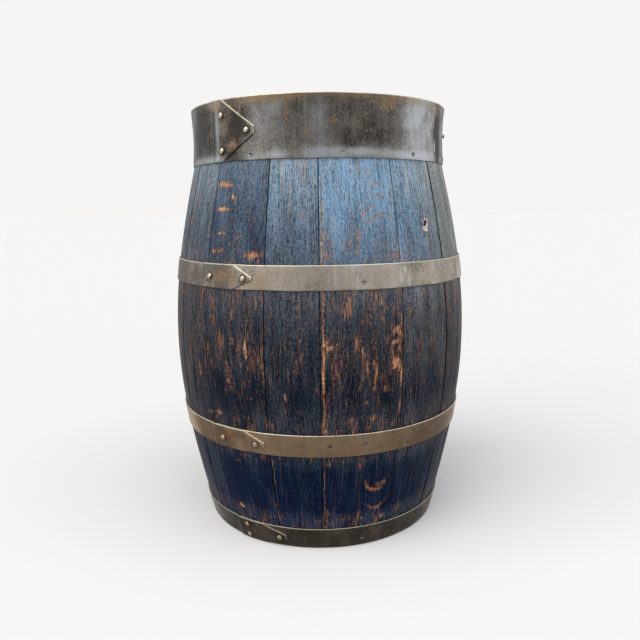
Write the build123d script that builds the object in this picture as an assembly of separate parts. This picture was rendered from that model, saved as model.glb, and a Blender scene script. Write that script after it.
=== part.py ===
from build123d import *
import math
import os

# A small oak wine barrel standing on its end: tapered staves held by four riveted
# hoops, a boarded head let into a groove at each end, a bung and a vent peg.
#
# Millimetres and degrees. The origin is on the floor, in the middle of the bottom end,
# with +Z up the barrel's axis. The front faces -Y. A bearing is the angle round the
# axis from the front, positive towards +X, so the back is at bearing 180.

# ---- the barrel's outer line ----
height = 608.0
bilge_radius = 222.0
bilge_height = 281.5        # the widest place, a little under half way
end_slope = 0.34            # how steeply the outer line leans far from the bilge
bend_length = 238.0         # how gently it bends between the two leans
seat_bottom = 529.0         # above this the staves are dressed to an upright seat
seat_radius = 184.1         # at the seat's waist, half way up it
seat_flare = 1.9            # the seat's ends stand this much further out
bulge_joints = [75.0, 150.0, 215.0, 348.0, 413.0, 470.0]    # arcs meet at these heights
inner_break = 500.0         # the inner line turns towards the upright seat here

# ---- staves ----
stave_thickness = 24.0
chime_depth = 14.0          # the bevel inside each end
chime_width = 9.0
end_bevel = 1.5             # small outer bevel that keeps the ends from splintering
croze_offset = 36.0         # middle of the head's groove, from the end
croze_width = 6.0
croze_depth = 5.0
stave_seams = [
    -62.7, -44.0, -18.9, 0.0, 29.2, 52.2, 74.0, 99.0, 119.5, 143.0,
    167.0, 193.0, 212.5, 235.5, 253.5, 275.5,
]

# ---- hoops: bottom and top edge, and the riveted lap joint ----
hoop_thickness = 1.5
hoop_clearance = 0.1
joggle_angle = 2.5          # the outer end steps over the inner one in this angle
joggle_gap = 0.4
hoop_height = 32.0
band_bottom = 529.5
band_top = height

hoops = {
    "top_band": dict(
        bottom=band_bottom, top=band_top, joggle=-46.6, shoulder=-41.0, tip=-25.3,
        tip_bottom=562.0, tip_top=572.0,
        rivets=[(-41.6, 588.0), (-28.8, 567.0), (-41.6, 543.5)],
        nails=[-27.3, 9.5, 42.0, 78.0, 112.0, 148.0, 183.0, 221.0, 259.0], nail_line=537.0,
    ),
    "upper_bilge_hoop": dict(
        bottom=367.5, top=367.5 + hoop_height, joggle=-45.5, shoulder=-30.5, tip=-23.2,
        tip_bottom=380.0, tip_top=384.0,
        rivets=[(-41.3, 382.5), (-26.4, 381.5)],
        nails=[15.0, 84.0, 150.0, 203.0, 262.0], nail_line=376.8,
    ),
    "lower_bilge_hoop": dict(
        bottom=147.0, top=147.0 + hoop_height, joggle=-42.5, shoulder=-28.2, tip=-20.6,
        tip_bottom=157.0, tip_top=164.5,
        rivets=[(-38.3, 162.0), (-23.9, 161.3)],
        nails=[3.0, 15.8, 88.0, 152.0, 202.0, 264.0], nail_line=163.0,
    ),
    "bottom_hoop": dict(
        bottom=1.0, top=1.0 + hoop_height, joggle=-39.5, shoulder=-25.8, tip=-15.8,
        tip_bottom=11.0, tip_top=20.0,
        rivets=[(-34.7, 25.5), (-34.5, 8.5), (-18.9, 15.5)],
        nails=[17.5, 85.0, 150.0, 222.0, 285.0], nail_line=13.5,
    ),
}

# ---- fasteners ----
rivet_head_radius = 3.6
rivet_head_height = 2.2
rivet_shank_radius = 2.0
nail_head_radius = 2.6
nail_head_height = 0.5
nail_shank_radius = 1.0
nail_length = 16.0
stud_bearing = 80.0
stud_height = 570.0
stud_head_radius = 3.0
stud_head_height = 3.4
hole_clearance = 0.1

# ---- heads ----
head_thickness = 20.0
head_edge_thickness = 5.4   # the feathered edge that sits in the groove
head_edge_flat = 6.5        # the edge is parallel for this far, then bevelled
groove_gap = 0.5            # left between the head's rim and the bottom of its groove
head_bevel_width = 14.0
head_board_seams = [-98.0, -33.0, 36.0, 101.0]
dowel_radius = 4.0
dowel_length = 36.0
dowel_offset = 78.0         # dowels stand this far each side of the middle

# ---- bung and vent peg ----
bung_bearing = 180.0
bung_hole_radius = 23.0     # at the outer face
bung_taper = 1.5            # the hole and bung narrow by this much through the stave
bung_length = 44.0
bung_proud = 6.0
bung_gap = 0.3
peg_bearing = 43.4
peg_height = 441.0
peg_hole_radius = 5.0
peg_radius = 4.6
peg_length = 34.0
peg_break_depth = 1.8       # under the stave's face, in the middle of the break
peg_break_angle = 35.0


def outer_radius(z):
    """The barrel's bulged outer line, without the seat under the top band."""
    away = z - bilge_height
    lean = math.sqrt(away**2 + bend_length**2) - bend_length
    return bilge_radius - end_slope * lean


def outward(bearing):
    return Vector(math.sin(math.radians(bearing)), -math.cos(math.radians(bearing)), 0)


def seat_line(z):
    """The staves' upright outer line under the top band, with a slight waist."""
    half = (height - seat_bottom) / 2
    return seat_radius + seat_flare * ((z - seat_bottom) / half - 1) ** 2


def face_radius(z):
    """Radius of the staves' outer face at height z."""
    return outer_radius(z) if z < seat_bottom else seat_line(z)


def lean_back(z):
    """Angle in degrees that the outer face leans in from upright at height z."""
    step = 0.1
    return math.degrees(math.atan((face_radius(z - step) - face_radius(z + step)) / (2 * step)))


def skin_plane(bearing, z, radius, lean=0.0):
    """A plane on the skin: its normal points out of the barrel, its Y goes up."""
    along = outward(bearing)
    tilt = math.radians(lean)
    normal = along * math.cos(tilt) + Vector(0, 0, math.sin(tilt))
    sideways = Vector(0, 0, 1).cross(along)
    return Plane(origin=along * radius + Vector(0, 0, z), x_dir=sideways, z_dir=normal)


def turned(face, start, width):
    """Sweep an upright XZ section round the axis, from bearing start through width."""
    return Rot(0, 0, start - 90) * revolve(face, Axis.Z, revolution_arc=width)


# ---------------------------------------------------------------- staves

def bulge(start, end, inset=0.0):
    """Arcs along the outer line from one height up to another, moved in by inset."""
    heights = [start] + [z for z in bulge_joints if start < z < end] + [end]
    for low, high in zip(heights, heights[1:]):
        places = (low, (low + high) / 2, high)
        ThreePointArc(*[(outer_radius(z) - inset, z) for z in places])


def stave_section():
    """Section of a stave through the barrel's axis, in the XZ plane."""
    thick = stave_thickness
    half = croze_width / 2
    low_croze, high_croze = croze_offset, height - croze_offset
    seat_heights = (seat_bottom, (seat_bottom + height) / 2, height - end_bevel)
    seat = [(seat_line(z), z) for z in seat_heights]
    shoulder = seat_bottom - 6
    inner_top = seat_line(height) - thick
    inner_low = outer_radius(low_croze + half) - thick
    groove_low, groove_top = inner_low + croze_depth, inner_top + croze_depth
    chime_start = outer_radius(0) - thick
    with BuildSketch(Plane.XZ) as section:
        with BuildLine():
            Line((outer_radius(0) - end_bevel, 0), (outer_radius(end_bevel), end_bevel))
            bulge(end_bevel, shoulder)
            Line((outer_radius(shoulder), shoulder), seat[0])
            ThreePointArc(*seat)
            Polyline(
                seat[-1], (seat_line(height) - end_bevel, height),
                (inner_top + chime_width, height), (inner_top, height - chime_depth),
                (inner_top, high_croze + half), (groove_top, high_croze + half),
                (groove_top, high_croze - half), (inner_top, high_croze - half),
                (inner_top, seat_bottom + 12),
                (outer_radius(inner_break) - thick, inner_break),
            )
            bulge(low_croze + half, inner_break, thick)
            Polyline(
                (inner_low, low_croze + half), (groove_low, low_croze + half),
                (groove_low, low_croze - half), (inner_low - 1, low_croze - half),
                (chime_start + 1.5, chime_depth), (chime_start + chime_width, 0),
                (outer_radius(0) - end_bevel, 0),
            )
        make_face()
    return section.sketch


def make_staves():
    section = stave_section()
    ends = stave_seams[1:] + [stave_seams[0] + 360]
    return {
        f"stave_{i + 1:02d}": turned(section, start, end - start)
        for i, (start, end) in enumerate(zip(stave_seams, ends))
    }


# ---------------------------------------------------------------- hoops

def hoop_section(hoop, step=0.0):
    """Section of a hoop strip in the XZ plane; step moves it out over the inner end."""
    low, high = hoop["bottom"], hoop["top"]
    shift = hoop_clearance + step
    inside = [(face_radius(z) + shift, z) for z in (low, (low + high) / 2, high)]
    outside = [(r + hoop_thickness, z) for r, z in inside]
    with BuildSketch(Plane.XZ) as section:
        with BuildLine():
            ThreePointArc(*inside)
            Line(inside[-1], outside[-1])
            ThreePointArc(*reversed(outside))
            Line(outside[0], inside[0])
        make_face()
    return section.sketch


def tip_cutters(hoop):
    """The two corners cut off the outer end, which leave its blunt point."""
    tip, shoulder = hoop["tip"], hoop["shoulder"]
    low, high = hoop["bottom"], hoop["top"]
    radius = face_radius((low + high) / 2)
    half_run = radius * math.sin(math.radians(tip - shoulder) / 2)
    plane = skin_plane((tip + shoulder) / 2, 0, radius)
    over = 8.0
    corners = [(high, hoop["tip_top"], 1), (low, hoop["tip_bottom"], -1)]
    cutters = []
    for edge, tip_edge, way in corners:
        outline = [
            (-half_run, edge), (half_run, tip_edge), (half_run + over, tip_edge),
            (half_run + over, edge + way * over), (-half_run, edge + way * over),
        ]
        face = plane * make_face(Polyline(*outline, close=True))
        cutters.append(extrude(face, amount=2 * over, both=True))
    return cutters


def make_hoop(hoop):
    """One strip bent round the barrel, its pointed end lapped over its inner end."""
    step = hoop_thickness + hoop_clearance
    around = hoop_section(hoop)
    lapped = hoop_section(hoop, step)
    joggle = hoop["joggle"]
    inner_start = joggle + joggle_gap
    ring = turned(around, inner_start, 360 - joggle_gap - joggle_angle)
    rise = loft([
        Rot(0, 0, joggle - joggle_angle - 90) * around.face(),
        Rot(0, 0, joggle - 90) * lapped.face(),
    ], ruled=True)
    lap = turned(lapped, joggle, hoop["tip"] - joggle)
    for cutter in tip_cutters(hoop):
        lap -= cutter
    return ring + rise + lap


# ---------------------------------------------------------------- fasteners

def hoop_face(bearing, z, layers=1):
    """Plane on a hoop's outer face, over one or two layers of strip."""
    out = layers * (hoop_thickness + hoop_clearance)
    return skin_plane(bearing, z, face_radius(z) + out, lean_back(z))


def domed_pin(plane, head_radius, head_height, shank_radius, shank_length, lift=0.0):
    """A domed head on a straight shank, standing on plane with its head outwards."""
    ball = (head_radius**2 + head_height**2) / (2 * head_height)
    dome = Sphere(ball).moved(Location((0, 0, head_height - ball)))
    above = Cylinder(
        ball + 1, 2 * head_height, align=(Align.CENTER, Align.CENTER, Align.MIN)
    )
    head = (dome & above).moved(Location((0, 0, lift)))
    shank = Cylinder(
        shank_radius, shank_length + 0.5, align=(Align.CENTER, Align.CENTER, Align.MAX)
    ).moved(Location((0, 0, 0.5 + lift)))
    return plane.location * (head + shank)


def pin_hole(plane, radius, depth):
    """The hole that a shank needs, from just above plane to depth under it."""
    drill = Cylinder(radius, depth + 2, align=(Align.CENTER, Align.CENTER, Align.MAX))
    return plane.location * drill.moved(Location((0, 0, 2)))


def make_rivets(hoop):
    """Rivets through both layers of a lap joint, and the holes they fill."""
    pins, holes = [], []
    length = 2 * (hoop_thickness + hoop_clearance)
    for bearing, z in hoop["rivets"]:
        plane = hoop_face(bearing, z, layers=2)
        pins.append(domed_pin(
            plane, rivet_head_radius, rivet_head_height, rivet_shank_radius, length - 0.1,
            lift=0.15,
        ))
        holes.append(pin_hole(plane, rivet_shank_radius + hole_clearance, length + 1))
    return pins, holes


def make_nail(bearing, z, head_radius, head_height):
    """A nail through one layer of strip into the stave behind it, and its hole."""
    plane = hoop_face(bearing, z)
    nail = domed_pin(
        plane, head_radius, head_height, nail_shank_radius, nail_length, lift=0.1
    )
    hole = pin_hole(plane, nail_shank_radius + hole_clearance, nail_length + 0.5)
    return nail, hole


# ---------------------------------------------------------------- heads

def head_disc(middle):
    """A round head with both faces bevelled to the thin edge that fits the groove."""
    groove_edge = height if middle > bilge_height else middle + croze_width / 2
    radius = face_radius(groove_edge) - stave_thickness + croze_depth - groove_gap
    half = head_thickness / 2
    edge = head_edge_thickness / 2
    flat = radius - head_edge_flat
    bevel = flat - head_bevel_width
    outline = [
        (0, middle - half), (bevel, middle - half), (flat, middle - edge),
        (radius, middle - edge), (radius, middle + edge), (flat, middle + edge),
        (bevel, middle + half), (0, middle + half),
    ]
    face = Plane.XZ * make_face(Polyline(*outline, close=True))
    return revolve(face, Axis.Z, revolution_arc=360)


def make_head(name, middle):
    """Boards side by side across the head, held edge to edge by hidden dowels."""
    disc = head_disc(middle)
    edges = [-bilge_radius] + head_board_seams + [bilge_radius]
    dowels, holes = [], []
    for seam in head_board_seams:
        for side in (-dowel_offset, dowel_offset):
            place = Location((seam, side, middle), (0, 90, 0))
            dowels.append(place * Cylinder(dowel_radius, dowel_length))
            holes.append(place * Cylinder(
                dowel_radius + hole_clearance, dowel_length + 2 * hole_clearance,
            ))
    boards = {}
    for i, (left, right) in enumerate(zip(edges, edges[1:])):
        plank = Box(right - left, 2 * bilge_radius, 2 * head_thickness)
        board = disc & plank.moved(Location(((left + right) / 2, 0, middle)))
        for hole in holes:
            board -= hole
        boards[f"{name}_board_{i + 1}"] = board
    return boards, dowels


# ---------------------------------------------------------------- bung and peg

def cone_plug(plane, radius_out, radius_in, inner, outer):
    """A tapered plug along a plane's normal, from inner to outer about its origin."""
    slope = (radius_out - radius_in) / stave_thickness
    wide = radius_out + slope * outer
    narrow = radius_out + slope * inner
    plug = Cone(narrow, wide, outer - inner).moved(Location((0, 0, (inner + outer) / 2)))
    return plane.location * plug


def make_bung():
    plane = skin_plane(bung_bearing, bilge_height, bilge_radius)
    narrow = bung_hole_radius - bung_taper
    hole = cone_plug(plane, bung_hole_radius, narrow, -stave_thickness - 8, 8)
    bung = cone_plug(
        plane, bung_hole_radius - bung_gap, narrow - bung_gap,
        bung_proud - bung_length, bung_proud,
    )
    return chamfer(bung.edges().filter_by(GeomType.CIRCLE), 1.5), hole


def make_peg():
    """A turned oak peg, broken off on a slant where it came out of the stave."""
    plane = skin_plane(peg_bearing, peg_height, face_radius(peg_height), lean_back(peg_height))
    hole = plane.location * Cylinder(peg_hole_radius, 3 * stave_thickness)
    body = Cylinder(
        peg_radius, peg_length, align=(Align.CENTER, Align.CENTER, Align.MAX)
    ).moved(Location((0, 0, 2)))
    beyond = Box(peg_length, peg_length, peg_length, align=(Align.CENTER, Align.CENTER, Align.MIN))
    beyond = Location((0, 0, -peg_break_depth), (peg_break_angle, 0, 0)) * beyond
    return plane.location * (body - beyond), hole


# ---------------------------------------------------------------- assembly

def inside_stave(index, bearing):
    start = stave_seams[index]
    end = (stave_seams[1:] + [stave_seams[0] + 360])[index]
    return (bearing - start) % 360 < end - start


def build():
    nodes = {}
    stave_holes = []        # (bearing, hole) of everything that pierces a stave
    for name, hoop in hoops.items():
        strip = make_hoop(hoop)
        rivets, rivet_holes = make_rivets(hoop)
        nails = []
        for bearing in hoop["nails"]:
            nail, hole = make_nail(
                bearing, hoop["nail_line"], nail_head_radius, nail_head_height
            )
            nails.append(nail)
            strip -= hole
            stave_holes.append((bearing, hole))
        if name == "top_band":
            stud, hole = make_nail(
                stud_bearing, stud_height, stud_head_radius, stud_head_height
            )
            nodes["band_stud"] = stud
            strip -= hole
            stave_holes.append((stud_bearing, hole))
        for hole in rivet_holes:
            strip -= hole
        nodes[name] = strip
        nodes[f"{name}_rivets"] = Compound(children=rivets)
        nodes[f"{name}_nails"] = Compound(children=nails)
    nodes["bung"], bung_hole = make_bung()
    nodes["vent_peg"], peg_hole = make_peg()
    stave_holes += [(bung_bearing, bung_hole), (peg_bearing, peg_hole)]
    for index, (name, stave) in enumerate(make_staves().items()):
        for bearing, hole in stave_holes:
            if inside_stave(index, bearing):
                stave -= hole
        nodes[name] = stave
    for name, middle in (("bottom_head", croze_offset), ("top_head", height - croze_offset)):
        boards, dowels = make_head(name, middle)
        nodes.update(boards)
        nodes[f"{name}_dowels"] = Compound(children=dowels)
    return nodes


os.makedirs("parts", exist_ok=True)
for node_name, shape in build().items():
    export_step(shape, f"parts/{node_name}.step")
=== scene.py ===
import math

import bpy
import numpy as np
from mathutils import Matrix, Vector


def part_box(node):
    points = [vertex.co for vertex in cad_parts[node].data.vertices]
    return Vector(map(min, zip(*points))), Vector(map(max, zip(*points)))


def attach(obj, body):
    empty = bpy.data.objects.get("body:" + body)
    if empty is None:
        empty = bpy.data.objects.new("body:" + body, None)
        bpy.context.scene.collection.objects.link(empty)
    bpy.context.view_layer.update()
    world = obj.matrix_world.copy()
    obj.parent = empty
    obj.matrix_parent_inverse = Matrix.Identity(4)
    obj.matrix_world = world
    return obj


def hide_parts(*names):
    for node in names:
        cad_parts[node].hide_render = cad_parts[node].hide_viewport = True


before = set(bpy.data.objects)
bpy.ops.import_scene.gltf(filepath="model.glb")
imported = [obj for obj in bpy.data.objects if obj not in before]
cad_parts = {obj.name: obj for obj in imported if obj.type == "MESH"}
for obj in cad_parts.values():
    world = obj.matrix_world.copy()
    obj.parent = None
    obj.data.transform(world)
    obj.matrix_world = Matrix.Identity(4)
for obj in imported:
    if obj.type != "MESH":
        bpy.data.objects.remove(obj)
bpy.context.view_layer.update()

# Metres and degrees. A bearing is the angle round the barrel's axis from the front (-Y),
# positive towards +X. A place on the barrel's outside is a bearing and a height.

# ---------------------------------------------------------------- the barrel's sizes

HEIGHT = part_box("stave_01")[1][2]
STAVE_THICKNESS = 0.024
BILGE_RADIUS = 0.222
BILGE_HEIGHT = 0.2815
END_SLOPE = 0.34            # how steeply the outer line leans far from the bilge
BEND_LENGTH = 0.238         # how gently it bends between the two leans
SEAT_BOTTOM = 0.529         # above this the staves stand upright under the top band
SEAT_RADIUS = 0.1841
SEAT_FLARE = 0.0019
INNER_BREAK = 0.500         # the inner line turns towards the upright seat here
CHIME_DEPTH = 0.014
CHIME_WIDTH = 0.009
END_BEVEL = 0.0015
CROZE_OFFSET = 0.036
CROZE_WIDTH = 0.006
CROZE_DEPTH = 0.005

HOOP_THICKNESS = 0.0015
HOOP_CLEARANCE = 0.0001
JOGGLE_ANGLE = 2.5          # a hoop's outer end steps over its inner end in this angle
JOGGLE_GAP = 0.4

HOOPS = {
    "top_band": dict(
        joggle=-46.6, shoulder=-41.0, tip=-25.3, tip_bottom=0.562, tip_top=0.572,
        rivets=[(-41.6, 0.588), (-28.8, 0.567), (-41.6, 0.5435)],
        nails=[-27.3, 9.5, 42.0, 78.0, 112.0, 148.0, 183.0, 221.0, 259.0], nail_line=0.537,
    ),
    "upper_bilge_hoop": dict(
        joggle=-45.5, shoulder=-30.5, tip=-23.2, tip_bottom=0.380, tip_top=0.384,
        rivets=[(-41.3, 0.3825), (-26.4, 0.3815)],
        nails=[15.0, 84.0, 150.0, 203.0, 262.0], nail_line=0.3768,
    ),
    "lower_bilge_hoop": dict(
        joggle=-42.5, shoulder=-28.2, tip=-20.6, tip_bottom=0.157, tip_top=0.1645,
        rivets=[(-38.3, 0.162), (-23.9, 0.1613)],
        nails=[3.0, 15.8, 88.0, 152.0, 202.0, 264.0], nail_line=0.163,
    ),
    "bottom_hoop": dict(
        joggle=-39.5, shoulder=-25.8, tip=-15.8, tip_bottom=0.011, tip_top=0.020,
        rivets=[(-34.7, 0.0255), (-34.5, 0.0085), (-18.9, 0.0155)],
        nails=[17.5, 85.0, 150.0, 222.0, 285.0], nail_line=0.0135,
    ),
}
STUD = (80.0, 0.570)

PEG = (43.4, 0.441)
PEG_RADIUS = 0.0046
PEG_HOLE_RADIUS = 0.005
PEG_LENGTH = 0.034
PEG_PROUD = 0.0020
PEG_SPLIT = 35              # the slant of its broken end
PEG_SPLIT_DEPTH = 0.0018
# What is torn out round the peg: name, half sizes, how far right (degrees) and up, and
# which of the stave's materials shows in it. The deep void's walls wear painted shade.
PEG_TEARS = [
    ("peg_tear", (0.0050, 0.0082, 0.0026), 0.5, 0.0058, 1),
    ("peg_void", (0.0022, 0.0042, 0.0160), 0.85, 0.0068, 2),
]
PEG_TEAR_TWIST = -0.30      # in radians, like the twist below
BUNG_BEARING = 180.0
BUNG_HOLE_RADIUS = 0.023
BUNG_TAPER = 0.0015
BUNG_GAP = 0.0003
BUNG_PROUD = 0.006
BUNG_LENGTH = 0.044
BUNG_REAM_TWIST = 0.037     # keeps the hole's facets out of line with the bung's
BUNG_EASE = 0.0015
BUNG_PITH = (0.004, -0.006, 0)      # where the rings of its end grain are centred

HEAD_SEAMS = [-0.098, -0.033, 0.036, 0.101]
HEAD_THICKNESS = 0.020
HEAD_EDGE_THICKNESS = 0.0054
HEAD_EDGE_FLAT = 0.0065
HEAD_BEVEL_WIDTH = 0.014
GROOVE_GAP = 0.0005
BOARD_GAP = 0.00025
BOARD_ROUND = 0.0012
BOARD_WAVE = 0.0003
BOARD_GRAIN_STEP = (0.37, 0.21)

# ---------------------------------------------------------------- wear on the staves

# Bare spots where the stain has gone: bearing, height, half width in degrees, half
# height, how strong, and how far the spot's top leans towards +bearing, in degrees.
WORN_SPOTS = [
    # above the upper hoop
    (-39.5, 0.5005, 4.2, 0.005, 1.25, 0), (-36.5, 0.4985, 1.9, 0.0035, 1.25, 0),
    (-34, 0.484, 1.3, 0.0065, 1.3, -25), (-39.2, 0.469, 3.4, 0.0042, 1.6, 0),
    (-36.6, 0.4685, 2.2, 0.0022, 1.4, 0), (-38.3, 0.4382, 2.8, 0.002, 1.4, 0),
    (-42, 0.4255, 1, 0.0025, 0.9, 0), (-41.3, 0.4145, 1.9, 0.0036, 1.3, 0),
    (-38, 0.4168, 2.6, 0.0018, 1.3, 75), (-33.6, 0.4255, 2.4, 0.0017, 1.1, 62),
    (-29.8, 0.434, 2.2, 0.0013, 1, 62), (-23.8, 0.411, 3.8, 0.0065, 1.3, 0),
    (-30.5, 0.519, 1, 0.004, 0.7, 0), (-24.5, 0.519, 0.7, 0.004, 0.6, 0),
    (-21.3, 0.512, 0.5, 0.006, 0.5, 0), (-28, 0.502, 0.6, 0.005, 0.45, 0),
    (-28, 0.454, 0.7, 0.004, 0.6, 0), (-23.4, 0.455, 0.4, 0.0055, 0.8, 0),
    (-26.3, 0.466, 0.6, 0.0015, 0.7, 0), (-58.6, 0.48, 1.4, 0.012, 0.9, -12),
    (-62, 0.456, 2.6, 0.005, 0.8, 0), (-60, 0.412, 3, 0.0022, 0.8, 0),
    (-51.5, 0.4095, 3, 0.0035, 0.7, 0), (-47, 0.514, 1, 0.004, 0.6, 0),
    (-6.3, 0.46, 0.5, 0.005, 0.7, 0), (-12.5, 0.47, 0.4, 0.025, 0.5, 0),
    (-11, 0.42, 0.4, 0.012, 0.6, 0), (-9.2, 0.408, 0.7, 0.0025, 0.6, 0),
    (-6, 0.508, 0.5, 0.008, 0.45, 0), (-10, 0.512, 0.5, 0.01, 0.4, 0),
    (0.95, 0.417, 0.5, 0.022, 1.5, 0), (0.95, 0.46, 0.45, 0.07, 1, 0),
    (2.8, 0.4075, 1.2, 0.002, 1, -50), (3.6, 0.427, 0.8, 0.006, 0.7, 0),
    (2.2, 0.445, 1.3, 0.015, 0.5, 0), (11.3, 0.4085, 0.5, 0.0035, 0.8, 0),
    (19.8, 0.408, 0.6, 0.003, 0.8, 0), (13.7, 0.436, 0.8, 0.009, 0.6, 8),
    (11.2, 0.514, 0.5, 0.012, 0.5, 0), (15.6, 0.516, 0.6, 0.008, 0.5, 0),
    (19, 0.512, 0.6, 0.01, 0.5, 0), (22.8, 0.497, 1.4, 0.0014, 0.8, 0),
    (22.8, 0.4832, 2.2, 0.0018, 0.8, 0), (27.8, 0.408, 1.3, 0.005, 1.2, 20),
    (28.5, 0.415, 0.5, 0.007, 1.1, 0), (28.4, 0.43, 0.3, 0.015, 0.6, 0),
    (39.8, 0.4265, 1.2, 0.005, 0.5, -20), (40.5, 0.407, 2, 0.0045, 0.5, 0),
    (53.5, 0.5, 1, 0.004, 0.6, 0), (33.2, 0.462, 0.5, 0.01, 0.35, 0),
    # between the two bilge hoops
    (-49, 0.251, 1, 0.012, 1, 4), (-43.5, 0.2905, 1.9, 0.0045, 0.8, 0),
    (-50, 0.298, 3.8, 0.004, 0.6, 0), (-40.8, 0.3425, 1.6, 0.0035, 0.9, 0),
    (-35.7, 0.303, 1, 0.005, 0.7, 0), (-31.3, 0.299, 0.7, 0.008, 0.9, 0),
    (-31.2, 0.276, 0.4, 0.007, 0.7, 0), (-25.9, 0.293, 0.8, 0.015, 1.2, 0),
    (-25.6, 0.281, 0.7, 0.004, 1.2, 0), (-28, 0.27, 0.8, 0.006, 0.8, 0),
    (-22.2, 0.268, 0.7, 0.008, 0.7, 0), (-22.3, 0.3, 0.5, 0.009, 0.6, 0),
    (-39.9, 0.197, 2.1, 0.005, 1.1, 0), (-45.3, 0.193, 1.8, 0.0045, 0.8, 0),
    (-24.6, 0.225, 0.8, 0.0018, 0.9, 0), (-28.3, 0.221, 0.5, 0.0025, 0.8, 0),
    (-25, 0.2, 0.7, 0.004, 0.7, 0), (-21.8, 0.355, 1.6, 0.007, 0.7, 0),
    (-19.6, 0.29, 0.5, 0.055, 0.75, 0), (-19.3, 0.25, 0.6, 0.006, 1, 0),
    (-19.3, 0.195, 0.6, 0.011, 0.9, 0), (-6.3, 0.285, 0.8, 0.024, 0.75, 0),
    (-12, 0.231, 0.5, 0.006, 0.9, 0), (-12, 0.212, 0.4, 0.008, 0.7, 0),
    (-6.2, 0.306, 0.6, 0.003, 0.9, 0), (-14.5, 0.262, 1, 0.006, 0.5, 0),
    (0.95, 0.275, 0.5, 0.075, 1.45, 0), (0.95, 0.23, 0.4, 0.07, 1.25, 0),
    (0.95, 0.34, 0.45, 0.04, 1.15, 0), (28.4, 0.29, 0.35, 0.08, 1.05, 0),
    (28.4, 0.22, 0.3, 0.05, 1, 0), (28.5, 0.258, 0.45, 0.022, 1.45, 0),
    (3.3, 0.296, 2, 0.0038, 1.25, -25), (2, 0.302, 1, 0.004, 1, 0),
    (11.8, 0.298, 0.5, 0.012, 0.9, 0), (14, 0.286, 0.8, 0.016, 1, -2),
    (14.3, 0.256, 0.5, 0.012, 0.6, 0), (18.7, 0.262, 1.1, 0.024, 1, 0),
    (18.2, 0.24, 0.9, 0.005, 1.1, 0), (18.2, 0.296, 0.6, 0.008, 0.7, 0),
    (20.8, 0.353, 1.1, 0.008, 0.9, 0), (22.3, 0.343, 1.6, 0.0035, 0.8, -40),
    (21.2, 0.33, 0.9, 0.0075, 0.9, 0), (26.3, 0.314, 2.4, 0.0055, 1.2, -38),
    (27.7, 0.31, 1.2, 0.005, 1.1, 0), (25.8, 0.299, 2.4, 0.004, 1.2, -25),
    (27.6, 0.29, 1.3, 0.004, 1.1, -20), (26.3, 0.271, 2.3, 0.0095, 1.3, 0),
    (27.8, 0.265, 1.2, 0.007, 1.2, 0), (28.7, 0.255, 0.3, 0.009, 1.2, 0),
    (22, 0.238, 1.1, 0.008, 0.9, 0), (25.5, 0.238, 0.9, 0.011, 0.45, 0),
    (4.5, 0.249, 0.5, 0.008, 0.8, 0), (2.2, 0.232, 0.5, 0.011, 0.8, 0),
    (15.8, 0.222, 0.6, 0.0045, 0.8, 0), (18, 0.1995, 1.6, 0.0055, 1, 0),
    (17.6, 0.187, 0.8, 0.005, 0.8, 0), (1.4, 0.185, 1, 0.003, 1.1, 0),
    (10.6, 0.198, 0.6, 0.004, 0.8, 0), (4.6, 0.198, 1.4, 0.006, 0.5, 0),
    (14, 0.187, 0.5, 0.006, 0.7, 0), (26.2, 0.189, 1, 0.0055, 0.7, 0),
    (10.3, 0.356, 0.9, 0.006, 0.7, 0), (4.3, 0.352, 1.4, 0.008, 0.5, 0),
    (15.8, 0.335, 0.7, 0.008, 0.5, 0), (32.6, 0.333, 0.7, 0.008, 0.8, 0),
    (36.3, 0.344, 1, 0.008, 0.6, 0), (33.2, 0.23, 0.9, 0.0028, 0.9, 0),
    (34.4, 0.197, 1.3, 0.0035, 0.6, 0), (46.5, 0.2, 1.8, 0.006, 0.6, -30),
    (54, 0.358, 2.8, 0.0035, 0.9, 0), (55.3, 0.326, 2.8, 0.0035, 0.9, 0),
    (55.8, 0.24, 2.8, 0.003, 0.7, 0), (54.6, 0.185, 2.4, 0.0045, 0.8, 0),
    (53, 0.26, 0.4, 0.025, 0.7, 0), (-64.5, 0.354, 2, 0.004, 0.8, 0),
    (-62, 0.296, 2.5, 0.005, 0.6, 0),
    # below the lower bilge hoop
    (-34, 0.128, 1.8, 0.0035, 0.6, 0), (-31.2, 0.1375, 1, 0.003, 0.8, 0),
    (-24.6, 0.137, 1, 0.0045, 0.6, 0), (-18.6, 0.133, 0.6, 0.011, 0.9, 0),
    (-18.9, 0.068, 1.3, 0.0065, 0.9, 0), (-18.5, 0.052, 0.8, 0.009, 0.7, 0),
    (-36.9, 0.053, 2.3, 0.0042, 1.2, 25), (-39, 0.048, 1.2, 0.003, 0.9, 0),
    (2.6, 0.137, 1.6, 0.006, 0.7, 0), (8.6, 0.13, 0.5, 0.01, 0.6, 0),
    (14.2, 0.131, 0.6, 0.011, 0.8, 0), (31, 0.133, 1.4, 0.008, 0.5, 0),
    (22.6, 0.0965, 2.4, 0.0055, 0.8, 15), (24.6, 0.1, 1.4, 0.006, 0.9, 0),
    (27.9, 0.076, 0.7, 0.006, 0.8, 0), (-2, 0.045, 2.6, 0.005, 0.7, 0),
    (-9.5, 0.044, 1.6, 0.0045, 0.5, 0), (8.6, 0.046, 0.8, 0.006, 0.8, 0),
    (16.4, 0.046, 2, 0.0035, 0.8, 45), (26.2, 0.043, 2.2, 0.0045, 1.1, 10),
    (2.2, 0.06, 0.7, 0.012, 0.7, 0), (46, 0.052, 1.6, 0.004, 0.5, 0),
    (35, 0.048, 0.6, 0.007, 0.7, 0), (0.95, 0.1, 0.32, 0.055, 0.95, 0),
    (-18.2, 0.1, 0.3, 0.05, 0.8, 0),
]

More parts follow.
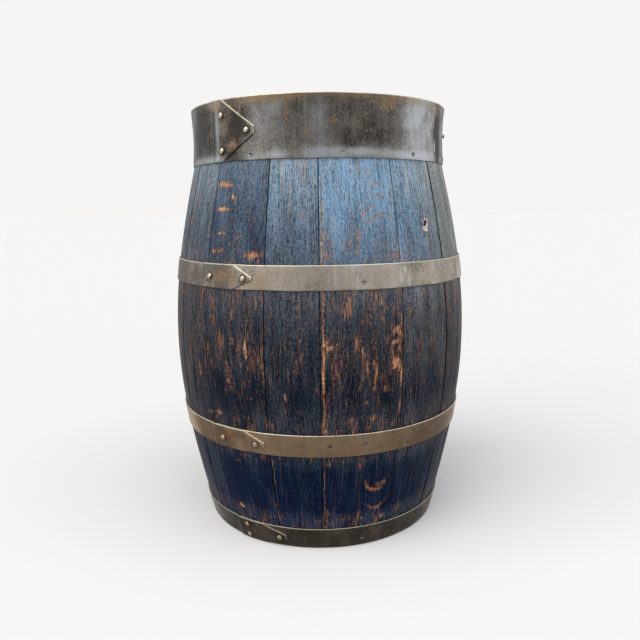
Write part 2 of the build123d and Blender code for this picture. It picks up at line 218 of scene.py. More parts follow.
# Curved scrapes: middle bearing and height, radius, first and last angle round the
# scrape (0 is towards +bearing, 90 is up), half width and strength.
CURVED_SCRAPES = [
    (24.0, 0.430, 0.0305, 62, 148, 0.0018, 0.95),
    (23.0, 0.445, 0.0290, 100, 160, 0.0019, 0.85),
    (22.8, 0.490, 0.0090, 20, 340, 0.0013, 0.75),
    (-3.5, 0.461, 0.0060, 60, 330, 0.0007, 0.55),
    (21.5, 0.107, 0.0170, 165, 315, 0.0034, 1.00),
    (22.0, 0.079, 0.0185, 200, 350, 0.0026, 0.90),
]

# Each stave, in order from stave_01: how far its face stands back, how blue its bloom
# is (partly painted sky light), how worn it is all over, the widths of the painted shade
# along its two joints, and which row of the bloom table it follows.
STAVE_LOOKS = [
    (0.0003, 0.35, 0.85, 0.0010, 0.0010, 0), (0.0000, 0.62, 0.90, 0.0010, 0.0009, 1),
    (0.0002, 0.62, 0.55, 0.0007, 0.0013, 2), (0.0000, 0.92, 1.00, 0.0000, 0.0006, 3),
    (0.0003, 0.80, 0.70, 0.0007, 0.0024, 4), (0.0001, 0.25, 0.75, 0.0016, 0.0010, 5),
    (0.0003, 0.40, 0.80, 0.0012, 0.0010, 5), (0.0000, 0.70, 0.90, 0.0010, 0.0014, 4),
    (0.0002, 0.60, 1.10, 0.0012, 0.0010, 2), (0.0001, 0.75, 0.80, 0.0009, 0.0013, 1),
    (0.0002, 0.55, 0.95, 0.0013, 0.0012, 0), (0.0000, 0.80, 1.15, 0.0011, 0.0010, 3),
    (0.0003, 0.50, 0.85, 0.0010, 0.0015, 2), (0.0001, 0.60, 0.90, 0.0013, 0.0011, 4),
    (0.0002, 0.45, 1.00, 0.0010, 0.0012, 1), (0.0001, 0.30, 0.85, 0.0012, 0.0012, 0),
]

# How thick the pale bloom is at each height, from the darkest staves to the palest.
# It is partly painted light: thicker up the barrel, where the staves face up to the
# light, on the lit right-hand staves, and as a pale rim light on the side staves.
BLOOM_AND_LIGHT_HEIGHTS = [0.045, 0.065, 0.120, 0.140, 0.190, 0.225, 0.275, 0.325, 0.360,
                 0.410, 0.440, 0.465, 0.490, 0.529]
BLOOM_AND_LIGHT = [
    [0.06, 0.02, 0.02, 0.04, 0.06, 0.04, 0.07, 0.09, 0.14, 0.26, 0.26, 0.32, 0.44, 0.62],
    [0.06, 0.00, 0.00, 0.04, 0.05, 0.00, 0.05, 0.07, 0.16, 0.17, 0.19, 0.22, 0.27, 0.42],
    [0.06, 0.00, 0.00, 0.05, 0.07, 0.02, 0.05, 0.10, 0.18, 0.28, 0.37, 0.46, 0.62, 0.86],
    [0.06, 0.00, 0.00, 0.05, 0.08, 0.02, 0.05, 0.10, 0.22, 0.48, 0.58, 0.72, 0.82, 0.92],
    [0.08, 0.00, 0.02, 0.10, 0.09, 0.04, 0.12, 0.17, 0.33, 0.55, 0.55, 0.62, 0.80, 0.96],
    [0.09, 0.03, 0.03, 0.06, 0.07, 0.04, 0.08, 0.16, 0.28, 0.62, 0.66, 0.64, 0.64, 0.80],
]

# How far the bloom turns from warm brown-grey to its own cooler colour at each height,
# and the stain from black to blue. The cool blue bloom up high is partly painted sky light.
COOL_HEIGHTS = [0.08, 0.14, 0.22, 0.30, 0.36, 0.40]
COOL_AMOUNTS = [1.0, 0.6, 0.2, 0.2, 0.5, 1.0]

# How much the staves are rubbed at each height, most beside the hoops.
RUB_HEIGHTS = [0.035, 0.055, 0.070, 0.120, 0.142, 0.182, 0.212, 0.240, 0.290, 0.320,
               0.350, 0.365, 0.402, 0.440, 0.480, 0.525]
RUB_AMOUNTS = [0.34, 0.26, -0.12, -0.15, 0.28, 0.34, 0.18, 0.27, 0.33, 0.26,
               0.32, 0.38, 0.28, 0.16, 0.06, 0.10]


# ---------------------------------------------------------------- shapes in numbers

def face_radius(z):
    """Radius of the staves' outer face at height z."""
    lean = np.sqrt((z - BILGE_HEIGHT) ** 2 + BEND_LENGTH**2) - BEND_LENGTH
    half = (HEIGHT - SEAT_BOTTOM) / 2
    seat = SEAT_RADIUS + SEAT_FLARE * ((z - SEAT_BOTTOM) / half - 1) ** 2
    return np.where(z < SEAT_BOTTOM, BILGE_RADIUS - END_SLOPE * lean, seat)


def inner_radius(z):
    """Radius of the staves' inner face at height z, without the grooves."""
    heights = [INNER_BREAK, SEAT_BOTTOM + 0.012]
    radii = [float(face_radius(INNER_BREAK)), float(face_radius(HEIGHT))]
    return np.where(z < INNER_BREAK, face_radius(z), np.interp(z, heights, radii)) - STAVE_THICKNESS


def lean_back(z):
    """Angle in radians that the outer face leans in from upright at height z."""
    step = 0.0001
    return math.atan(float(face_radius(z - step) - face_radius(z + step)) / (2 * step))


def on_barrel(bearing, radius, z):
    """Points from bearings in degrees, radii and heights."""
    turn = np.radians(bearing)
    return np.stack(np.broadcast_arrays(radius * np.sin(turn), -radius * np.cos(turn), z), -1)


def bearing_of(points):
    """Bearings in degrees, between -180 and 180."""
    return np.degrees(np.arctan2(points[..., 0], -points[..., 1]))


def apart(bearing, other):
    """Signed angle in degrees from other to bearing, between -180 and 180."""
    return (bearing - other + 180) % 360 - 180


def smoothstep(low, high, x):
    """Rises smoothly from 0 at low to 1 at high."""
    t = np.clip((x - low) / (high - low), 0, 1)
    return t * t * (3 - 2 * t)


def ripple(seed, lengths, *coordinates):
    """Smooth random waves, about -1 to 1, with a wavelength for each coordinate."""
    waves = 7
    rng = np.random.default_rng(seed)
    total = 0.0
    for _ in range(waves):
        phase = rng.uniform(0, 2 * math.pi)
        for coordinate, length in zip(coordinates, lengths):
            stretch = rng.uniform(0.6, 1.7) * rng.choice([-1, 1])
            phase = phase + coordinate * (2 * math.pi * stretch / length)
        total = total + np.sin(phase)
    return total / waves**0.5 * 0.8


# ---------------------------------------------------------------- meshes

def quads(ids):
    """The faces between the rows and columns of a sheet of vertex numbers."""
    corners = [ids[:-1, :-1], ids[1:, :-1], ids[1:, 1:], ids[:-1, 1:]]
    return np.stack(corners, -1).reshape(-1, 4)


def block_mesh(name, lattice):
    """A closed mesh over the six sides of a lattice of points, shape (i, j, k, 3)."""
    shape = lattice.shape[:3]
    outside = np.ones(shape, bool)
    outside[1:-1, 1:-1, 1:-1] = False
    ids = np.full(shape, -1)
    ids[outside] = np.arange(outside.sum())
    faces = np.concatenate([
        quads(ids[-1]), quads(ids[0].T), quads(ids[:, -1].T),
        quads(ids[:, 0]), quads(ids[:, :, -1]), quads(ids[:, :, 0].T),
    ])
    return closed_mesh(name, lattice[outside], faces.tolist())


def closed_mesh(name, points, faces):
    """A mesh from points and faces, turned so that its faces look outwards."""
    points = np.asarray(points, float)
    fans = [(face[0], b, c) for face in faces for b, c in zip(face[1:], face[2:])]
    a, b, c = (points[list(column)] for column in zip(*fans))
    if np.einsum("ij,ij->", a, np.cross(b, c)) < 0:
        faces = [face[::-1] for face in faces]
    mesh = bpy.data.meshes.new(name)
    mesh.from_pydata(points.tolist(), [], faces)
    mesh.validate()
    return mesh


def lathe_shape(profile, segments):
    """Points and faces of a turned shape from (radius, height) pairs, pole to pole."""
    turns = np.linspace(0, 2 * math.pi, segments, endpoint=False)
    rings = profile[1:-1]
    points = [(0, 0, profile[0][1]), (0, 0, profile[-1][1])]
    points += [(r * math.cos(t), r * math.sin(t), h) for r, h in rings for t in turns]
    faces = []
    for s in range(segments):
        after = (s + 1) % segments
        faces.append([0, 2 + after, 2 + s])
        for row in range(len(rings) - 1):
            low = 2 + row * segments
            high = low + segments
            faces.append([low + s, low + after, high + after, high + s])
        last = 2 + (len(rings) - 1) * segments
        faces.append([1, last + s, last + after])
    return np.array(points), faces


def skin_matrix(bearing, z, radius, lean=0.0, spin=0.0):
    """Places a shape on the skin: its Z points out of the barrel and its Y goes up.

    Only the bearing is in degrees. The lean and the spin are in radians.
    """
    turn = math.radians(bearing)
    stand = Matrix.Rotation(turn, 4, "Z") @ Matrix.Rotation(math.pi / 2 - lean, 4, "X")
    place = Matrix.Translation((radius * math.sin(turn), -radius * math.cos(turn), z))
    return place @ stand @ Matrix.Rotation(spin, 4, "Z")


def store(mesh, name, values):
    """Keeps one value or one vector for each vertex, for the materials to read."""
    values = np.asarray(values, np.float32)
    kind, field = ("FLOAT", "value") if values.ndim == 1 else ("FLOAT_VECTOR", "vector")
    layer = mesh.attributes.new(name, kind, "POINT")
    layer.data.foreach_set(field, values.ravel())


def points_of(mesh):
    """The mesh's vertices as an array, one row for each."""
    points = np.empty(len(mesh.vertices) * 3, np.float32)
    mesh.vertices.foreach_get("co", points)
    return points.reshape(-1, 3).astype(float)


def add_object(name, data):
    """Puts an object with this data in the scene."""
    obj = bpy.data.objects.new(name, data)
    bpy.context.scene.collection.objects.link(obj)
    return obj


def piece(name, mesh, body, nodes, materials, crease=35):
    """An object that stands for CAD nodes, rides on their body and wears its materials."""
    obj = add_object(name, mesh)
    for material in materials:
        mesh.materials.append(material)
    mesh.shade_smooth()
    mesh.set_sharp_from_angle(angle=math.radians(crease))
    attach(obj, body)
    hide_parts(*nodes)


# ---------------------------------------------------------------- material building

MIX_A, MIX_B, MIX_RESULT = 6, 7, 2          # the colour sockets of a Mix node
GRAIN_RELIEF = 0.0004
DARKENED = 0.35             # how much of a colour is left in its pores and specks


class Nodes:
    """A node tree, with one short method for each kind of node that is used here."""

    def __init__(self, owner):
        owner.use_nodes = True
        self.tree = owner.node_tree

    def node(self, kind, **settings):
        node = self.tree.nodes.new(kind)
        for setting, value in settings.items():
            setattr(node, setting, value)
        return node

    def feed(self, socket, value):
        if isinstance(value, bpy.types.NodeSocket):
            self.tree.links.new(value, socket)
        else:
            socket.default_value = value

    def attribute(self, name, vector=False):
        node = self.node("ShaderNodeAttribute", attribute_name=name)
        return node.outputs["Vector" if vector else "Fac"]

    def noise(self, where, scale, detail, rough=0.55, distortion=0.0):
        """Noise between 0 and 1; scale is how many features fit in a metre, by axis."""
        stretch = self.node("ShaderNodeVectorMath", operation="MULTIPLY")
        self.feed(stretch.inputs[0], where)
        stretch.inputs[1].default_value = scale
        noise = self.node("ShaderNodeTexNoise")
        self.feed(noise.inputs["Vector"], stretch.outputs["Vector"])
        noise.inputs["Scale"].default_value = 1.0
        noise.inputs["Detail"].default_value = detail
        noise.inputs["Roughness"].default_value = rough
        noise.inputs["Distortion"].default_value = distortion
        return noise.outputs["Fac"]

    def math(self, operation, a, b, clamp=False):
        node = self.node("ShaderNodeMath", operation=operation, use_clamp=clamp)
        self.feed(node.inputs[0], a)
        self.feed(node.inputs[1], b)
        return node.outputs[0]

    def total(self, *parts):
        """Adds up values. A part may be a pair: a value and its weight."""
        whole = None
        for part in parts:
            term = self.math("MULTIPLY", *part) if isinstance(part, tuple) else part
            whole = term if whole is None else self.math("ADD", whole, term)
        return whole

    def ramp(self, value, low, high, start=0.0, end=1.0, interpolation="SMOOTHSTEP"):
        """Maps value from low..high to start..end, clamped."""
        node = self.node("ShaderNodeMapRange", interpolation_type=interpolation)
        self.feed(node.inputs["Value"], value)
        for socket, number in zip(("From Min", "From Max", "To Min", "To Max"),
                                  (low, high, start, end)):
            self.feed(node.inputs[socket], number)
        return node.outputs["Result"]

    def mix(self, amount, a, b):
        """Mixes two colours, given as numbers or sockets."""
        node = self.node("ShaderNodeMix", data_type="RGBA")
        self.feed(node.inputs[0], amount)
        for socket, colour in ((MIX_A, a), (MIX_B, b)):
            solid = isinstance(colour, tuple)
            self.feed(node.inputs[socket], (*colour, 1.0) if solid else colour)
        return node.outputs[MIX_RESULT]


class Surface(Nodes):
    """A material on a Principled surface; plain settings go straight on its sockets."""

    def __init__(self, name, **settings):
        self.material = bpy.data.materials.new(name)
        super().__init__(self.material)
        self.surface = self.tree.nodes["Principled BSDF"]
        for socket, value in settings.items():
            self.surface.inputs[socket.replace("_", " ")].default_value = value

    def bump(self, height, distance, strength):
        node = self.node("ShaderNodeBump")
        node.inputs["Strength"].default_value = strength
        node.inputs["Distance"].default_value = distance
        self.feed(node.inputs["Height"], height)
        self.feed(self.surface.inputs["Normal"], node.outputs["Normal"])

    def finish(self, colour, roughness):
        self.feed(self.surface.inputs["Base Color"], colour)
        self.feed(self.surface.inputs["Roughness"], roughness)
        return self.material


# ---------------------------------------------------------------- wood

def stained_oak():
    """Blue-black stain over oak, under a pale bloom that is partly painted light, worn through to
    brown in places, with painted shade along the joints.
    """
    oak = Surface("stained_oak", Specular_IOR_Level=0.04, Sheen_Weight=0.22,
                  Sheen_Roughness=0.17, Sheen_Tint=(1.0, 0.76, 0.56, 1.0))
    grain = oak.attribute("grain", vector=True)
    fibre = oak.ramp(oak.noise(grain, (360, 360, 22), detail=4, rough=0.6), 0.32, 0.68)
    lines = oak.ramp(oak.noise(grain, (760, 760, 34), detail=2), 0.36, 0.64)
    figure = oak.noise(grain, (85, 85, 5), detail=3, distortion=0.3)
    speckle = oak.ramp(oak.noise(grain, (440, 440, 330), detail=3, rough=0.7), 0.36, 0.64)
    dashes = oak.ramp(oak.noise(grain, (620, 620, 75), detail=3, rough=0.65), 0.36, 0.64)
    blotch = oak.ramp(oak.noise(grain, (90, 90, 40), detail=4, rough=0.65), 0.32, 0.68)
    pores = oak.noise(grain, (820, 820, 150), detail=3)
    flecks = oak.noise(grain, (640, 640, 560), detail=2)
    threads = oak.noise(grain, (620, 620, 12), detail=2)

    blue_stain = oak.mix(fibre, (0.0004, 0.0046, 0.0210), (0.0020, 0.0120, 0.0460))
    black_stain = oak.mix(fibre, (0.0005, 0.0050, 0.0120), (0.0024, 0.0130, 0.0270))
    stain = oak.mix(oak.attribute("cool"), black_stain, blue_stain)
    # the bloom's colours; the blue one is partly painted sky light
    warm_bloom = oak.mix(lines, (0.330, 0.300, 0.265), (0.440, 0.420, 0.380))
    sky_lit_blue_bloom = oak.mix(lines, (0.160, 0.320, 0.500), (0.270, 0.450, 0.640))
    grey_bloom = oak.mix(lines, (0.270, 0.310, 0.305), (0.380, 0.420, 0.415))
    cool_bloom = oak.mix(oak.attribute("blue"), grey_bloom, sky_lit_blue_bloom)
    bloom_and_light_tone = oak.mix(oak.attribute("cool"), warm_bloom, cool_bloom)
    # how thick the bloom is, partly painted light
    bloom_and_painted_light = oak.math("MAXIMUM", oak.attribute("bloom_and_painted_light"), 0.0)
    uneven = oak.total((fibre, 0.16), (dashes, 0.44), (speckle, 0.56),
                       oak.ramp(figure, 0.3, 0.7, -0.75, -0.53))
    uneven = oak.math("MULTIPLY", uneven, oak.math("POWER", bloom_and_painted_light, 0.75))
    cover = oak.math("ADD", bloom_and_painted_light, uneven, clamp=True)
    colour = oak.mix(cover, stain, bloom_and_light_tone)

    # the stain is rubbed through along the grain, most where the wear is strong
    rub = oak.total((fibre, 0.20), (speckle, 0.20), (blotch, 0.16), (dashes, 0.34),
                    oak.attribute("wear"))
    bare = oak.ramp(rub, 0.60, 1.05)
    bare_tone = oak.mix(oak.ramp(rub, 0.70, 1.18), (0.030, 0.017, 0.015), (0.225, 0.095, 0.052))
    bare_tone = oak.mix(oak.ramp(rub, 1.10, 1.55), bare_tone, (0.640, 0.350, 0.190))
    bare_tone = oak.mix(oak.math("MULTIPLY", cover, 0.55), bare_tone, (0.500, 0.390, 0.330))
    colour = oak.mix(bare, colour, bare_tone)
    colour = oak.mix(oak.attribute("raw"), colour, oak.mix(
        fibre, (0.075, 0.042, 0.022), (0.200, 0.120, 0.062)))
    pale_flecks = oak.math("ADD", oak.ramp(flecks, 0.56, 0.70),
                           oak.ramp(threads, 0.57, 0.70, 0.0, 0.8), clamp=True)
    pale_flecks = oak.math("MULTIPLY", pale_flecks, oak.total((bloom_and_painted_light, 0.60), 0.07))
    colour = oak.mix(pale_flecks, colour, (0.520, 0.410, 0.320))
    dark_pores = oak.ramp(pores, 0.54, 0.70, 0.0, 0.70)
    # near-black pores, and painted shade along the joints between the staves
    colour = oak.mix(oak.math("MAXIMUM", dark_pores, oak.attribute("joint_shade")), colour,
                     (0.002, 0.003, 0.006))

    height = oak.total((fibre, 0.5), (dark_pores, -1.0), (speckle, 0.30), (bare, -0.30))
    oak.bump(height, GRAIN_RELIEF, 0.50)
    return oak.finish(colour, oak.total(oak.ramp(fibre, 0.0, 1.0, 0.42, 0.52), (bare, 0.15)))


def plain_wood(name, dark, light, rings=False):
    """Bare or oiled wood: fibres along the grain, or rings where the end grain shows."""
    wood = Surface(name, Specular_IOR_Level=0.3)
    grain = wood.attribute("grain", vector=True)
    fibre = wood.noise(grain, (620, 620, 22), detail=4, rough=0.6)
    figure = wood.noise(grain, (130, 130, 6), detail=3, distortion=0.8)
    pores = wood.noise(grain, (1500, 1500, 120), detail=2)
    blend = wood.total((fibre, 0.6), (figure, 0.5))
    if rings:
        growth = wood.node("ShaderNodeTexWave", wave_type="RINGS", rings_direction="Z")
        wood.feed(growth.inputs["Vector"], grain)
        growth.inputs["Scale"].default_value = 95.0
        growth.inputs["Distortion"].default_value = 1.6
        growth.inputs["Detail"].default_value = 3.0
        blend = wood.total((blend, 0.7), (growth.outputs["Fac"], 0.32))
    colour = wood.mix(wood.ramp(blend, 0.30, 0.80), dark, light)
    colour = wood.mix(wood.ramp(pores, 0.57, 0.72, 0.0, 0.6), colour,
                      tuple(DARKENED * part for part in dark))
    height = wood.math("SUBTRACT", blend, wood.ramp(pores, 0.5, 0.7, 0.0, 0.6))
    wood.bump(height, GRAIN_RELIEF, 0.5)
    return wood.finish(colour, wood.ramp(fibre, 0.2, 0.8, 0.55, 0.75))


# ---------------------------------------------------------------- metal

def aged_brass(name, dark, middle, pale, brown, roughness, flecks):
    """Tarnished brass strip: a mottled tone that carries any painted reflections, brown stains, and
    a painted highlight along its top edge and lap tip.
    """
    brass = Surface(name, Metallic=1.0)
    strip = brass.attribute("strip", vector=True)
    cloud = brass.noise(strip, (34, 34, 34), detail=5, rough=0.6)
    drip = brass.noise(strip, (170, 170, 26), detail=3, rough=0.6)
    speck = brass.noise(strip, (480, 480, 480), detail=3, rough=0.7)
    scratch = brass.noise(strip, (22, 22, 1500), detail=2)
    tone = brass.total(brass.attribute("tone"), brass.ramp(cloud, 0.25, 0.75, -0.17, 0.17),
                       brass.ramp(drip, 0.25, 0.75, -0.08, 0.08),
                       brass.ramp(speck, 0.25, 0.75, -0.24, 0.24))
    colour = brass.mix(brass.ramp(tone, 0.0, 0.5, interpolation="LINEAR"), dark, middle)
    colour = brass.mix(brass.ramp(tone, 0.5, 1.0, interpolation="LINEAR"), colour, pale)
    rust = brass.total(brass.ramp(speck, 0.34, 0.66, 0.0, 0.55),
                       brass.ramp(cloud, 0.30, 0.70, 0.0, 0.35), brass.attribute("brown"))
    colour = brass.mix(brass.ramp(rust, 0.66, 1.20, 0.0, 0.85), colour, brown)
    colour = brass.mix(brass.ramp(speck, 0.60, 0.72, 0.0, flecks), colour,
                       tuple(DARKENED * part for part in middle))
    # a painted highlight along the top edge and the lap's tip
    edge_highlight = brass.math("MULTIPLY", brass.attribute("edge"),
                        brass.ramp(drip, 0.25, 0.55, 0.55, 1.0), clamp=True)
    colour = brass.mix(edge_highlight, colour, (0.800, 0.730, 0.560))
    return brass.finish(colour, brass.total(
        brass.ramp(tone, 0.1, 0.9, roughness[1], roughness[0]),
        brass.ramp(scratch, 0.45, 0.7, 0.0, 0.10)))


def rubbed_brass(name, dark, light, roughness=0.32):
    """A small brass fastener: bright on its crown, darker round its rim, with painted shade in a
    nail head's dished middle.
    """
    brass = Surface(name, Metallic=1.0)
    place = brass.attribute("strip", vector=True)
    speck = brass.noise(place, (700, 700, 700), detail=3, rough=0.65)
    darkening = brass.total(brass.attribute("dark"), (speck, 0.6))
    colour = brass.mix(brass.ramp(darkening, 0.35, 1.05), light, dark)
    return brass.finish(colour, brass.ramp(darkening, 0.3, 1.1, roughness, roughness + 0.25))


# ---------------------------------------------------------------- staves

EDGE_COLUMNS = np.array([0.0, 0.00025, 0.0006, 0.0011, 0.0019])
EDGE_ROUND = 0.0011
COLUMN_STEP = 0.0015
ROW_STEP = 0.0025
DEPTHS = [0.0, 0.05, 0.35, 0.70, 1.0]       # through the thickness, outside to inside
JOINT_GAP = 0.00012
JOINT_WANDER = 0.00010
FACE_CROWN = 0.00015
FACE_WAVE = 0.00012
BARE_SINK = 0.0004          # how far the most worn places have sunk
BACK_WAVE = 0.0002
CRACK_HALF_HEIGHT = 0.0005
SPOT_WEAR = 0.66            # the wear in the middle of a bare spot of strength 1
SCRAPE_WEAR = 0.6
GRAIN_LEAN = 0.012          # no two staves are cut quite along the grain
GRAIN_STEP = (0.31, 0.47)   # how far on, across and along, the next stave's grain starts
# Towards the right the bloom and its painted sky light are less blue: it fades over the
# first two bearings and comes back over the last two.
BLUE_FADE = 0.55
BLUE_FADES = (34, 50)
BLUE_RETURNS = (62, 90)

# Short cracks across the grain: bearing, height, half width in degrees and depth.
CRACKS = [
    (11.2, 0.4620, 0.9, 0.0009), (11.0, 0.4570, 1.5, 0.0009), (11.4, 0.4535, 1.8, 0.0008),
    (23.6, 0.4614, 0.9, 0.0009), (-21.6, 0.4068, 1.3, 0.0014), (-37.0, 0.4660, 2.0, 0.0005),
]


def stave_span(node):
    """The bearings at which a stave's CAD node starts and ends."""
    points = points_of(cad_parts[node].data)
    around = bearing_of(points)
    turn = np.radians(around)
    middle = math.degrees(math.atan2(np.sin(turn).sum(), np.cos(turn).sum()))
    reach = apart(around, middle)
    return middle + reach.min(), middle + reach.max()


def stave_rows(start, end):
    """Height outside, height inside and groove depth for each row of a stave."""
    heights = set(np.round(np.arange(0.005, HEIGHT - 0.004, ROW_STEP), 5))
    for bearing, z, _, _ in CRACKS:
        if 0 < apart(bearing, start) < end - start:
            heights |= {round(z + step, 5) for step in (-0.0008, -0.0004, 0, 0.0004, 0.0008)}
    rows = [(z, z, 0.0) for z in heights]
    rows += [(z, z, 0.0) for z in (0.0, 0.0006, END_BEVEL, 0.0030)]
    rows += [(HEIGHT - z, HEIGHT - z, 0.0) for z in (0.0, 0.0006, END_BEVEL, 0.0030)]
    for middle in (CROZE_OFFSET, HEIGHT - CROZE_OFFSET):
        low, high = middle - CROZE_WIDTH / 2, middle + CROZE_WIDTH / 2
        rows = [row for row in rows if not low - 0.001 < row[0] < high + 0.001]
        rows += [(low - 0.0003, low, 0.0), (low + 0.0003, low, CROZE_DEPTH)]
        rows += [(high - 0.0003, high, CROZE_DEPTH), (high + 0.0003, high, 0.0)]
    return np.array(sorted(rows)).T


def hollow(bearing, z, spot):
    """How far inside a spot each place is: 1 in its middle, 0 outside it."""
    at, height, half_width, half_height, lean = spot
    radius = float(face_radius(height))
    across = np.radians(apart(bearing, at)) * radius
    up = z - height
    turn = math.radians(lean)
    along = up * math.cos(turn) + across * math.sin(turn)
    side = across * math.cos(turn) - up * math.sin(turn)
    wide = math.radians(half_width) * radius
    if abs(lean) > 45:
        wide, half_height = half_height, wide
    ragged = 0.20 * ripple(3, (1.3, 0.040), bearing, z) + 0.16 * ripple(4, (4.5, 0.007), bearing, z)
    return 1 - smoothstep(0.35, 1.30, np.hypot(side / wide, along / half_height) + ragged)


def scrape_at(bearing, z, scrape):
    """How strongly a curved scrape marks each place."""
    at, height, radius, first, last, half_width, strength = scrape
    across = np.radians(apart(bearing, at)) * float(face_radius(height))
    up = z - height
    angle = np.degrees(np.arctan2(up, across)) % 360
    middle, reach = (first + last) / 2, (last - first) / 2
    ends = 1 - smoothstep(reach * 0.75, reach * 1.05, np.abs(apart(angle, middle)))
    line = 1 - smoothstep(0.4, 1.3, np.abs(np.hypot(across, up) - radius) / half_width)
    return strength * ends * line


def wear_at(bearing, z, index):
    """How worn each place on the staves is, from bare spots, scrapes and rubbing."""
    base = STAVE_LOOKS[index][2] * np.interp(z, RUB_HEIGHTS, RUB_AMOUNTS)
    wear = base * (0.9 + 0.45 * ripple(index + 40, (9.0, 0.11), bearing, z)
                   + 0.25 * ripple(index + 50, (2.6, 0.045), bearing, z))
    middle = bearing.mean()
    for at, height, half_width, half_height, strength, lean in WORN_SPOTS:
        if abs(apart(middle, at)) < 20:
            spot = (at, height, half_width, half_height, lean)
            wear = np.maximum(wear, SPOT_WEAR * strength * hollow(bearing, z, spot))
    for scrape in CURVED_SCRAPES:
        wear = np.maximum(wear, SCRAPE_WEAR * scrape_at(bearing, z, scrape))
    return wear


def paint_stave(mesh, index, start, end):
    """Stores the grain's own coordinates and the state of the surface on a stave."""
    points = points_of(mesh)
    bearing = (start + end) / 2 + apart(bearing_of(points), (start + end) / 2)
    radius = np.hypot(points[:, 0], points[:, 1])
    z = points[:, 2]
    outer = face_radius(z)
    depth = outer - radius
    across = np.radians(bearing - (start + end) / 2) * outer
    lean = np.sin(index * 1.7) * GRAIN_LEAN
    store(mesh, "grain", np.stack([across + z * lean + index * GRAIN_STEP[0], depth,
                                   z + index * GRAIN_STEP[1]], 1))
    _, blue, _, left_shade, right_shade, row = STAVE_LOOKS[index]
    cloud = ripple(index, (14.0, 0.16), bearing, z)
    fine = ripple(index + 20, (3.0, 0.5), bearing, z)
    # the bloom, partly painted light: paler and bluer up the barrel and on the lit staves
    bloom = np.interp(z, BLOOM_AND_LIGHT_HEIGHTS, BLOOM_AND_LIGHT[row])
    store(mesh, "bloom_and_painted_light", bloom * (1 + 0.10 * cloud + 0.06 * fine) + 0.02 * cloud)
    store(mesh, "cool", np.interp(z, COOL_HEIGHTS, COOL_AMOUNTS))
    fade = BLUE_FADE * smoothstep(*BLUE_FADES, bearing) * (1 - smoothstep(*BLUE_RETURNS, bearing))
    store(mesh, "blue", np.clip(blue - fade + 0.10 * cloud, 0, 1))
    store(mesh, "wear", wear_at(bearing, z, index))
    # painted shade along the stave's two joints, as wide as its look gives
    from_left = np.radians(bearing - start) * outer
    from_right = np.radians(end - bearing) * outer
    joint_shade = np.maximum((from_left < left_shade) * (1 - from_left / max(left_shade, 1e-6)),
                      (from_right < right_shade) * (1 - from_right / max(right_shade, 1e-6)))
    store(mesh, "joint_shade", smoothstep(0.0, 0.6, joint_shade))
    inside = smoothstep(0.004, 0.012, depth) * smoothstep(0.0, 0.004, np.minimum(z, HEIGHT - z))
    store(mesh, "raw", inside)


def make_stave(index, cutters, materials):
    """A stave: its outside and inside, row by row, any holes and how it has weathered."""
    node = f"stave_{index + 1:02d}"
    start, end = stave_span(node)
    z_out, z_in, groove = stave_rows(start, end)
    outer = face_radius(z_out)
    gap = JOINT_GAP + JOINT_WANDER * (1 + ripple(index + 7, (0.3,), z_out))
    width = np.radians(end - start) * outer - 2 * gap
    count = int(width.max() / COLUMN_STEP)
    share = np.concatenate([EDGE_COLUMNS * 0, np.linspace(0, 1, count), EDGE_COLUMNS * 0 + 1])
    inset = EDGE_COLUMNS[-1] + COLUMN_STEP
    shift = np.concatenate([EDGE_COLUMNS, inset * np.linspace(1, -1, count), -EDGE_COLUMNS[::-1]])
    across = share[:, None] * width + shift[:, None]
    bearing = start + np.degrees((gap + across) / outer)

    # the outside: eased edges and ends, a slightly flat face, hollows and cracks
    edge = np.minimum(np.abs(shift), EDGE_ROUND)[:, None]
    eased = EDGE_ROUND - np.sqrt(EDGE_ROUND**2 - (EDGE_ROUND - edge) ** 2)
    end_gap = np.minimum(z_out, HEIGHT - z_out)
    chamfer = END_BEVEL * (1 - np.clip(end_gap / END_BEVEL, 0, 1))
    flat = FACE_CROWN * (2 * across / width - 1) ** 2
    uneven = FACE_WAVE * (1 + ripple(index + 90, (12.0, 0.13), bearing, z_out[None, :]))
    sunk = STAVE_LOOKS[index][0] + eased + chamfer + flat + uneven
    wear = wear_at(bearing, z_out[None, :], index)
    sunk = sunk + BARE_SINK * smoothstep(0.25, 0.7, wear)
    for at, height, half_width, depth in CRACKS:
        crack = (at, height, half_width, CRACK_HALF_HEIGHT, 0)
        sunk = sunk + depth * hollow(bearing, z_out, crack)
    face = outer - sunk

    # the inside: a chime at each end and the two grooves
    inner_gap = np.minimum(z_in, HEIGHT - z_in)
    chime = CHIME_WIDTH * (1 - np.clip(inner_gap / CHIME_DEPTH, 0, 1))
    back = inner_radius(z_in) + chime + groove
    back = back + BACK_WAVE * ripple(index, (8.0, 0.2), bearing, z_in)

    layers = []
    for depth in DEPTHS:
        radius = face + (back - face) * depth if depth else face
        z = z_out + (z_in - z_out) * depth
        if depth == DEPTHS[1]:
            even = outer - STAVE_LOOKS[index][0] - depth * STAVE_THICKNESS - chamfer
            radius = np.minimum(even, face - 0.0004)
        layers.append(on_barrel(bearing, radius, np.broadcast_to(z, bearing.shape)))
    mesh = block_mesh(f"{node}_oak", np.stack(layers, 1))
    if cutters:
        mesh = carve(mesh, cutters, materials)
    paint_stave(mesh, index, start, end)
    own = [] if cutters else materials      # carving has already given it its materials
    piece(f"{node}_oak", mesh, "cask", [node], own)


